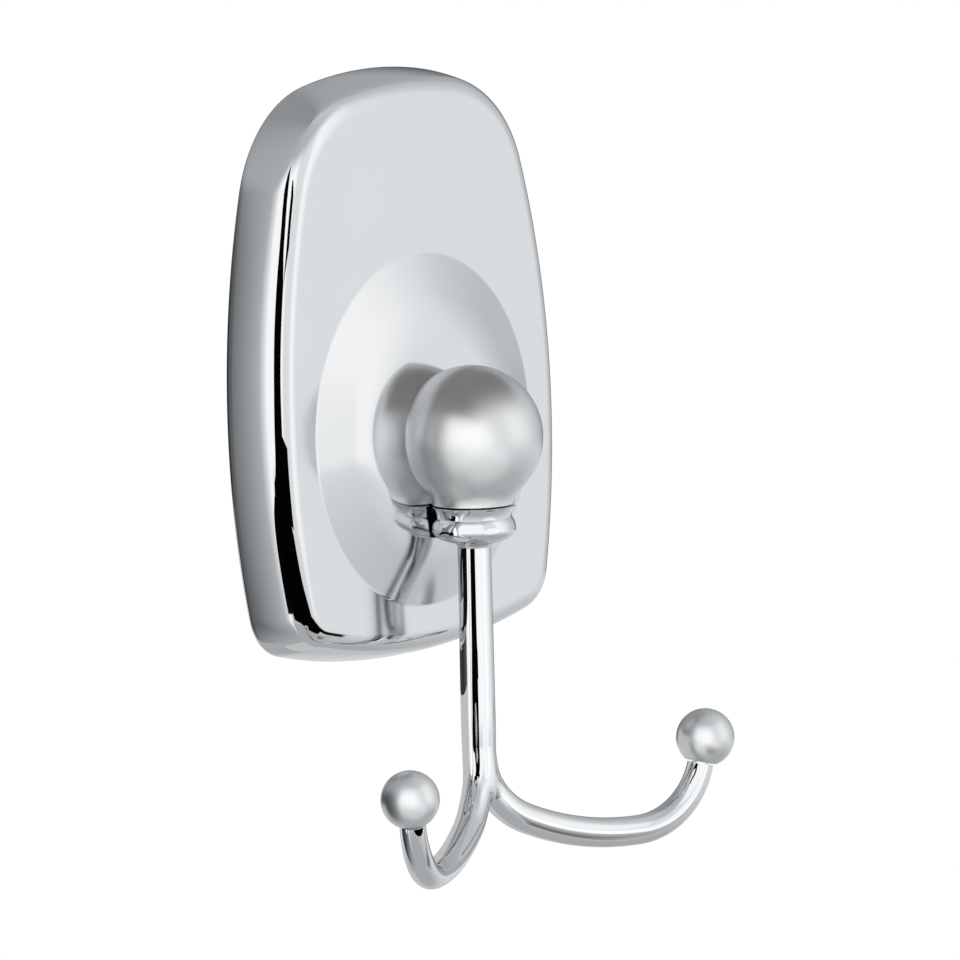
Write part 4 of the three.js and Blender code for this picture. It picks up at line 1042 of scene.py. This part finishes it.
# The light round the hook, by bearing (0 = +X, 90 = into the wall) and lift above the horizon, in degrees
SURROUND = ((0, 0.48), (5, 0.42), (14, 0.25), (26, 0.12), (78, 0.04), (118, 0.03), (132, 0.08), (150, 0.14),
            (158, 0.26), (164, 0.34), (170, 0.45), (173, 0.75), (175, 1.0), (240, 1.0), (250, 0.76),
            (278, 0.78), (284, 0.9), (289, 0.98), (300, 0.96), (312, 0.88), (320, 0.80), (325, 0.76),
            (332, 0.66), (340, 0.6), (350, 0.54))
OVERHEAD = ((0, 0.46), (16, 0.42), (35, 0.38), (45, 0.29), (80, 0.30), (120, 0.36), (160, 0.42), (190, 0.46),
            (265, 0.50), (300, 0.54), (328, 0.60), (340, 0.54))
OVERHEAD_LIFT, BESIDE_SPAN, BESIDE_RAISE = (35.0, 60.0), (112.0, 172.0), 24.0
BEHIND_SPAN, BEHIND_RAISE, SPAN_SOFT = (-10.0, 112.0), 36.0, 8.0
COOL_TINT = ((0.94, 0.05), (1.0, 0.0), (1.035, -0.028))
FLOOR_LINE, FLOOR_SOFT, FLOOR_DEEP, FLOOR_NEAR, FLOOR_FAR = -10.5, 1.5, -45.0, 0.42, 0.74
LEFT_WING, WING_SOFT, WING_FADE = (100.0, 179.0), 4.0, (-80.0, -30.0)
MIRRORED_TWICE, SECOND_LOOK_DEPTH = 0.66, 2.5
FLOOR_HEIGHT, FLOOR_RADIUS, FLOOR_PAINT = -250.0, 1000.0, 0.8

# Cards that only reflections see: outlines as (x, z) in front of the wall, (y, z) far to the left,
# (distance, z) along a line from the rod and (x, y) overhead
CARD_OUT, LEFT_CARD_X, CANOPY_HEIGHT, ROD_SLIP_BEARING = 75.0, -600.0, 300.0, math.radians(218.5)
FAR_CARD = ((-66, -98), (-66, -30), (-51, -29), (-51, -7), (-84, -5), (-88, 15), (-87, 43), (-98, 52),
            (-111, 61), (-125, 78), (-150, 100), (-172, 150), (-301, 385), (-600, 560), (-600, 320),
            (-408, 203), (-292, 140), (-245, 105), (-240, 50), (-225, 10), (-245, -10), (-280, -35),
            (-345, -55), (-480, -90), (-600, -115), (-600, -345), (-110, -105))
HIGH_SLIP = ((-86, 43), (-64, 50), (-72, 71), (-91, 103), (-104, 112), (-93, 74), (-83, 54))
LEFT_CARD = ((-75, -345), (55, -345), (52, -230), (48, -194), (39, -170), (19, -146), (-20, -123),
             (-75, -115))
ROD_SLIP = ((8, -46), (8, -41), (33, -39), (40, -37), (50, -36), (56, -34), (68, -29), (84, -29), (84, -98),
            (37, -66), (24, -56), (20, -47))
ROD_SLIP_SET_BACK, ROD_SLIP_HALF = 0.5, 0.1
ARM_SLIP = ((0, -160), (0, -84), (60, -84), (60, -160))
ARM_SLIP_MIDDLE, ARM_SLIP_FADE, ARM_SLIP_LEFT, ARM_SLIP_RIGHT = -114.0, (2.0, 30.0), (10.0, 1.0), (18.0, 58.0)
CANOPY, CANOPY_FADE = ((420, 220), (-400, 220), (-400, -420), (420, -420)), (-100.0, -420.0)
WALL_CARD = ((-34.0, 50.0), (-1.0, 0.0), (-130.0, -50.5))
FELT_TONE, CANOPY_TONE, CANOPY_EDGE, SECOND_LOOK_TONE = 0.004, 0.16, 0.62, 0.2
ARM_SLIP_TONE, ARM_SLIP_EDGE, WALL_TONE = 0.16, 0.5, 0.55
START_MARGIN, COLLAR_MARGIN, CARD_SECOND_LOOK = 0.15, 0.6, 1.5


def set_camera():
    """The photograph's camera: it stands straight off the object's origin and looks past it."""
    right = Vector((math.cos(CAMERA_AZIMUTH), math.sin(CAMERA_AZIMUTH), 0))
    level = Vector((-math.sin(CAMERA_AZIMUTH), math.cos(CAMERA_AZIMUTH), 0))
    ahead = level * math.cos(CAMERA_ELEVATION) - Vector((0, 0, math.sin(CAMERA_ELEVATION)))
    up = right.cross(ahead)
    du, dv = (HALF_FRAME - pixel for pixel in ORIGIN_PIXEL)
    across = (math.cos(CAMERA_ROLL) * du + math.sin(CAMERA_ROLL) * dv) / PIXELS_PER_METRE
    down = (-math.sin(CAMERA_ROLL) * du + math.cos(CAMERA_ROLL) * dv) / PIXELS_PER_METRE
    target, spot = right * across - up * down, -ahead * CAMERA_DISTANCE
    back = (spot - target).normalized()
    above = up * math.cos(CAMERA_ROLL) - right * math.sin(CAMERA_ROLL)
    side = above.cross(back).normalized()
    turn = Matrix((side, back.cross(side), back)).transposed()
    camera = bpy.data.objects.new("camera", bpy.data.cameras.new("camera"))
    scene.collection.objects.link(camera)
    camera.matrix_world = Matrix.Translation(spot) @ turn.to_4x4()
    camera.data.sensor_width = SENSOR_WIDTH
    camera.data.lens = SENSOR_WIDTH / 2 * (spot - target).length / (HALF_FRAME / PIXELS_PER_METRE)
    camera.data.clip_start, camera.data.clip_end = 0.1, 100
    scene.camera = camera


def band(tree, value, low, high, soft):
    rise = map_range(tree, value, low - soft, low + soft)
    fall = map_range(tree, value, high - soft, high + soft, 1.0, 0.0)
    return math_node(tree, "MULTIPLY", rise, fall)


def ring_of_tones(tree, bearing, tones):
    ramp = tree.nodes.new("ShaderNodeValToRGB")
    link(tree, math_node(tree, "DIVIDE", bearing, 360.0), ramp.inputs["Fac"])
    while len(ramp.color_ramp.elements) < len(tones):
        ramp.color_ramp.elements.new(0.5)
    for element, (degrees, level) in zip(ramp.color_ramp.elements, tones):
        element.position = degrees / 360
        element.color = (level, level, level, 1)
    return ramp.outputs["Color"]


def set_world():
    """Tones round the hook, a floor and a ceiling that is lower beside and behind it; white to the camera."""
    world = bpy.data.worlds.new("studio")
    scene.world = world
    world.use_nodes = True
    tree = world.node_tree
    background = tree.nodes["Background"]
    coords, path = tree.nodes.new("ShaderNodeTexCoord"), tree.nodes.new("ShaderNodeLightPath")
    x, y, z = split(tree, coords.outputs["Generated"])
    bearing = math_node(tree, "MULTIPLY", math_node(tree, "ARCTAN2", y, x), 180 / math.pi)
    bearing = math_node(tree, "MODULO", math_node(tree, "ADD", bearing, 360.0), 360.0)
    lift = math_node(tree, "MULTIPLY", math_node(tree, "ARCSINE", z), 180 / math.pi)
    around, above = ring_of_tones(tree, bearing, SURROUND), ring_of_tones(tree, bearing, OVERHEAD)

    floor = map_range(tree, lift, FLOOR_DEEP, FLOOR_LINE, FLOOR_NEAR, FLOOR_FAR, smooth=False)
    left_wing = band(tree, bearing, *LEFT_WING, WING_SOFT)
    left_wing = math_node(tree, "MULTIPLY", left_wing, map_range(tree, lift, *WING_FADE))
    on_floor = map_range(tree, lift, FLOOR_LINE - FLOOR_SOFT, FLOOR_LINE + FLOOR_SOFT, 1.0, 0.0)
    on_floor = math_node(tree, "MULTIPLY", on_floor, math_node(tree, "SUBTRACT", 1.0, left_wing))
    tone = blend(tree, on_floor, around, floor)
    raised = lift
    for span, degrees in ((BESIDE_SPAN, BESIDE_RAISE), (BEHIND_SPAN, BEHIND_RAISE)):
        inside = band(tree, bearing, *span, SPAN_SOFT)
        raised = math_node(tree, "ADD", raised, math_node(tree, "MULTIPLY", inside, degrees))
    tone = blend(tree, map_range(tree, raised, *OVERHEAD_LIFT), tone, above)
    second_look = math_node(tree, "GREATER_THAN", path.outputs["Ray Depth"], SECOND_LOOK_DEPTH)
    tone = math_node(tree, "MULTIPLY", tone, blend(tree, second_look, 1.0, MIRRORED_TWICE))

    tint = tree.nodes.new("ShaderNodeCombineColor")
    for channel, (base, slope) in zip(tint.inputs, COOL_TINT):
        share = math_node(tree, "ADD", math_node(tree, "MULTIPLY", tone, slope), base)
        link(tree, math_node(tree, "MULTIPLY", tone, share), channel)
    shown = mix_colours(tree, path.outputs["Is Camera Ray"], tint.outputs["Color"], (1.0, 1.0, 1.0))
    link(tree, shown, background.inputs["Color"])
    background.inputs["Strength"].default_value = 1.0


def set_floor():
    floor = turned("floor", [(0, FLOOR_HEIGHT), (FLOOR_RADIUS, FLOOR_HEIGHT)], 96)
    floor.visible_glossy = False
    paint, _, shader = new_material("pale_floor")
    shader.inputs["Base Color"].default_value = (FLOOR_PAINT, FLOOR_PAINT, FLOOR_PAINT, 1)
    shader.inputs["Roughness"].default_value = 0.9
    floor.data.materials.append(paint)


def matt_card(name, base=0.0, tone=0.0):
    """A card without gloss that may shine by itself."""
    card, tree, shader = new_material(name)
    shader.inputs["Base Color"].default_value = (base, base, base, 1)
    shader.inputs["Roughness"].default_value = 1.0
    shader.inputs["Specular IOR Level"].default_value = 0.0
    shader.inputs["Emission Color"].default_value = (1, 1, 1, 1)
    shader.inputs["Emission Strength"].default_value = tone
    return card, tree, shader


def clear_where(tree, shader, share):
    clear, mixed = tree.nodes.new("ShaderNodeBsdfTransparent"), tree.nodes.new("ShaderNodeMixShader")
    link(tree, share, mixed.inputs["Fac"])
    link(tree, shader.outputs["BSDF"], mixed.inputs[1])
    link(tree, clear.outputs["BSDF"], mixed.inputs[2])
    link(tree, mixed.outputs["Shader"], tree.nodes["Material Output"].inputs["Surface"])


def reflected_from(tree):
    """Where on the hook a reflection of the card comes from, and 1 where it was mirrored before."""
    path, here = tree.nodes.new("ShaderNodeLightPath"), tree.nodes.new("ShaderNodeNewGeometry")
    start = tree.nodes.new("ShaderNodeVectorMath")
    start.operation = "MULTIPLY_ADD"
    link(tree, here.outputs["Incoming"], start.inputs[0])
    link(tree, path.outputs["Ray Length"], start.inputs[1])
    link(tree, here.outputs["Position"], start.inputs[2])
    second_look = math_node(tree, "GREATER_THAN", path.outputs["Ray Depth"], CARD_SECOND_LOOK)
    return start.outputs["Vector"], second_look


def within(tree, spot, centre, radius, axes=(1, 1, 1)):
    """1 inside a ball, or inside an upright cylinder where the last axis is 0."""
    offset, length = tree.nodes.new("ShaderNodeVectorMath"), tree.nodes.new("ShaderNodeVectorMath")
    offset.operation, length.operation = "MULTIPLY_ADD", "LENGTH"
    link(tree, spot, offset.inputs[0])
    offset.inputs[1].default_value = axes
    offset.inputs[2].default_value = [-c * a * MM for c, a in zip(centre, axes)]
    link(tree, offset.outputs["Vector"], length.inputs[0])
    return math_node(tree, "LESS_THAN", length.outputs["Value"], radius * MM)


def black_felt():
    """Black cloth for the plate's edges and the bars; the balls, collar and plate's face see past it."""
    cloth, tree, shader = matt_card("black_felt", FELT_TONE)
    start, second_look = reflected_from(tree)
    _, out, height = split(tree, start)
    seen_past = within(tree, start, HANG.translation, HUB_RADIUS + START_MARGIN)
    for side in (1, -1):
        tip = HANG @ arm_frame(side) @ Vector((0, 0, TIP_SEAM + SEAT_GAP))
        from_tip = within(tree, start, tip, TIP_RADIUS + START_MARGIN)
        seen_past = math_node(tree, "MAXIMUM", seen_past, from_tip)
    beside_axis = within(tree, start, (0, -HUB_OUT, 0), COLLAR_BEAD_RADIUS + COLLAR_MARGIN, (1, 1, 0))
    above_foot = math_node(tree, "GREATER_THAN", height, (HUB_Z + COLLAR_BOTTOM) * MM)
    seen_past = math_node(tree, "MAXIMUM", seen_past, math_node(tree, "MULTIPLY", beside_axis, above_foot))
    past_edge = math_node(tree, "LESS_THAN", out, -(PLATE_DEPTH - FACE_EDGE) * MM)
    on_mound = math_node(tree, "GREATER_THAN", out, -(MOUND_TOP + FACE_EDGE) * MM)
    from_face = math_node(tree, "MULTIPLY", past_edge, on_mound)
    from_face = math_node(tree, "MULTIPLY", from_face, math_node(tree, "SUBTRACT", 1.0, second_look))
    clear_where(tree, shader, math_node(tree, "MAXIMUM", seen_past, from_face))
    above_bead = math_node(tree, "GREATER_THAN", height, (HUB_Z + COLLAR_BEAD_Z) * MM)
    by_way_of_plate = math_node(tree, "MULTIPLY", second_look, above_bead)
    glow = math_node(tree, "MULTIPLY", by_way_of_plate, SECOND_LOOK_TONE)
    link(tree, glow, shader.inputs["Emission Strength"])
    return cloth


def canopy_felt():
    """Grey cloth overhead, paler to the front: only the hub ball sees it, straight or in the plate."""
    cloth, tree, shader = matt_card("canopy_felt", FELT_TONE)
    start, second_look = reflected_from(tree)
    _, _, height = split(tree, start)
    from_ball = within(tree, start, HANG.translation, HUB_RADIUS + START_MARGIN)
    by_way_of_plate = math_node(tree, "MULTIPLY", second_look, math_node(tree, "GREATER_THAN", height, 0.0))
    seen = math_node(tree, "MAXIMUM", from_ball, by_way_of_plate)
    clear_where(tree, shader, math_node(tree, "SUBTRACT", 1.0, seen))
    _, out, _ = split(tree, tree.nodes.new("ShaderNodeNewGeometry").outputs["Position"])
    paler = map_range(tree, out, *(edge * MM for edge in CANOPY_FADE))
    link(tree, blend(tree, paler, CANOPY_TONE, CANOPY_EDGE), shader.inputs["Emission Strength"])
    return cloth


def arm_cloth():
    """Grey cloth below the arms, darkest along its middle and pale towards its edges."""
    cloth, tree, shader = matt_card("grey_cloth")
    x, _, z = split(tree, tree.nodes.new("ShaderNodeNewGeometry").outputs["Position"])
    off_middle = math_node(tree, "ABSOLUTE", math_node(tree, "SUBTRACT", z, ARM_SLIP_MIDDLE * MM))
    pale = map_range(tree, off_middle, *(edge * MM for edge in ARM_SLIP_FADE))
    for span in (ARM_SLIP_LEFT, ARM_SLIP_RIGHT):
        pale = math_node(tree, "MAXIMUM", pale, map_range(tree, x, *(edge * MM for edge in span)))
    link(tree, blend(tree, pale, ARM_SLIP_TONE, ARM_SLIP_EDGE), shader.inputs["Emission Strength"])
    return cloth


def set_cards():
    """Black cards left of the hook and in front of it: they draw the dark lines on the bright edges."""
    black = black_felt()
    along_rod = Matrix.Rotation(ROD_SLIP_BEARING, 4, "Z") @ OUT_OF_WALL
    from_rod = Matrix.Translation((0, -HUB_OUT + ROD_SLIP_SET_BACK, 0)) @ along_rod
    at_left = Matrix.Translation((LEFT_CARD_X, 0, 0)) @ Matrix.Rotation(math.pi / 2, 4, "Z") @ OUT_OF_WALL
    overhead = Matrix.Translation((0, 0, CANOPY_HEIGHT))
    for card, cloth in (
        (prism("far_card", FAR_CARD, OUT_OF_WALL, CARD_OUT, CARD_OUT + 1), black),
        (prism("high_slip", HIGH_SLIP, OUT_OF_WALL, CARD_OUT, CARD_OUT + 1), black),
        (prism("left_card", LEFT_CARD, at_left, 0, 1), black),
        (prism("rod_slip", ROD_SLIP, from_rod, -ROD_SLIP_HALF, ROD_SLIP_HALF), black),
        (prism("arm_slip", ARM_SLIP, OUT_OF_WALL, CARD_OUT, CARD_OUT + 1), arm_cloth()),
        (prism("canopy", CANOPY, overhead, 0, 1), canopy_felt()),
    ):
        card.visible_camera = card.visible_shadow = card.visible_diffuse = False
        card.data.materials.append(cloth)


def set_wall_card():
    """The pale wall below the plate, seen only as a reflection in the rod and the arms."""
    card = block("wall_card", *WALL_CARD)
    card.visible_camera = card.visible_shadow = card.visible_diffuse = False
    paper, _, _ = matt_card("pale_paper", tone=WALL_TONE)
    card.data.materials.append(paper)


def soft_lamp(name, bearing, lift, distance, size, level, receivers):
    """A soft box that lights only some of the pieces; its level is its brightness seen in a mirror."""
    lamp = bpy.data.lights.new(name, "AREA")
    lamp.shape = "ELLIPSE"
    lamp.size, lamp.size_y = size
    lamp.energy = level * math.pi * (math.pi / 4 * size[0] * size[1])
    obj = bpy.data.objects.new(name, lamp)
    scene.collection.objects.link(obj)
    turn, rise = math.radians(bearing), math.radians(lift)
    way = Vector((math.cos(turn) * math.cos(rise), math.sin(turn) * math.cos(rise), math.sin(rise)))
    obj.matrix_world = Matrix.Translation(way * distance) @ way.to_track_quat("Z", "Y").to_matrix().to_4x4()
    obj.visible_camera = False
    lit = bpy.data.collections.new(name + "_receivers")
    for piece in receivers:
        lit.objects.link(piece)
    obj.light_linking.receiver_collection = lit
    obj.light_linking.blocker_collection = bpy.data.collections["hook_pieces"]


def set_lamps():
    made = bpy.data.objects
    balls = [made["hub_ball_satin"], made["tip_ball_right_satin"], made["tip_ball_left_satin"]]
    bars = [made["fork_forged"], made["collar_turned"]]
    pieces = bpy.data.collections.new("hook_pieces")
    for piece in balls + bars + [made["plate_cover"]]:
        pieces.objects.link(piece)
    soft_lamp("satin_key", bearing=212, lift=0, distance=1.2, size=(2.6, 1.1), level=0.13, receivers=balls)
    soft_lamp("satin_fill", bearing=235, lift=-42, distance=1.2, size=(2.2, 1.4), level=0.25, receivers=balls)
    soft_lamp("rod_strip", bearing=160, lift=-7, distance=0.5, size=(0.21, 0.6), level=0.75, receivers=bars)
    soft_lamp("rod_fill", bearing=266, lift=-8, distance=1.0, size=(0.8, 0.8), level=0.24, receivers=bars)


set_camera()
set_world()
set_floor()
set_cards()
set_wall_card()
set_lamps()
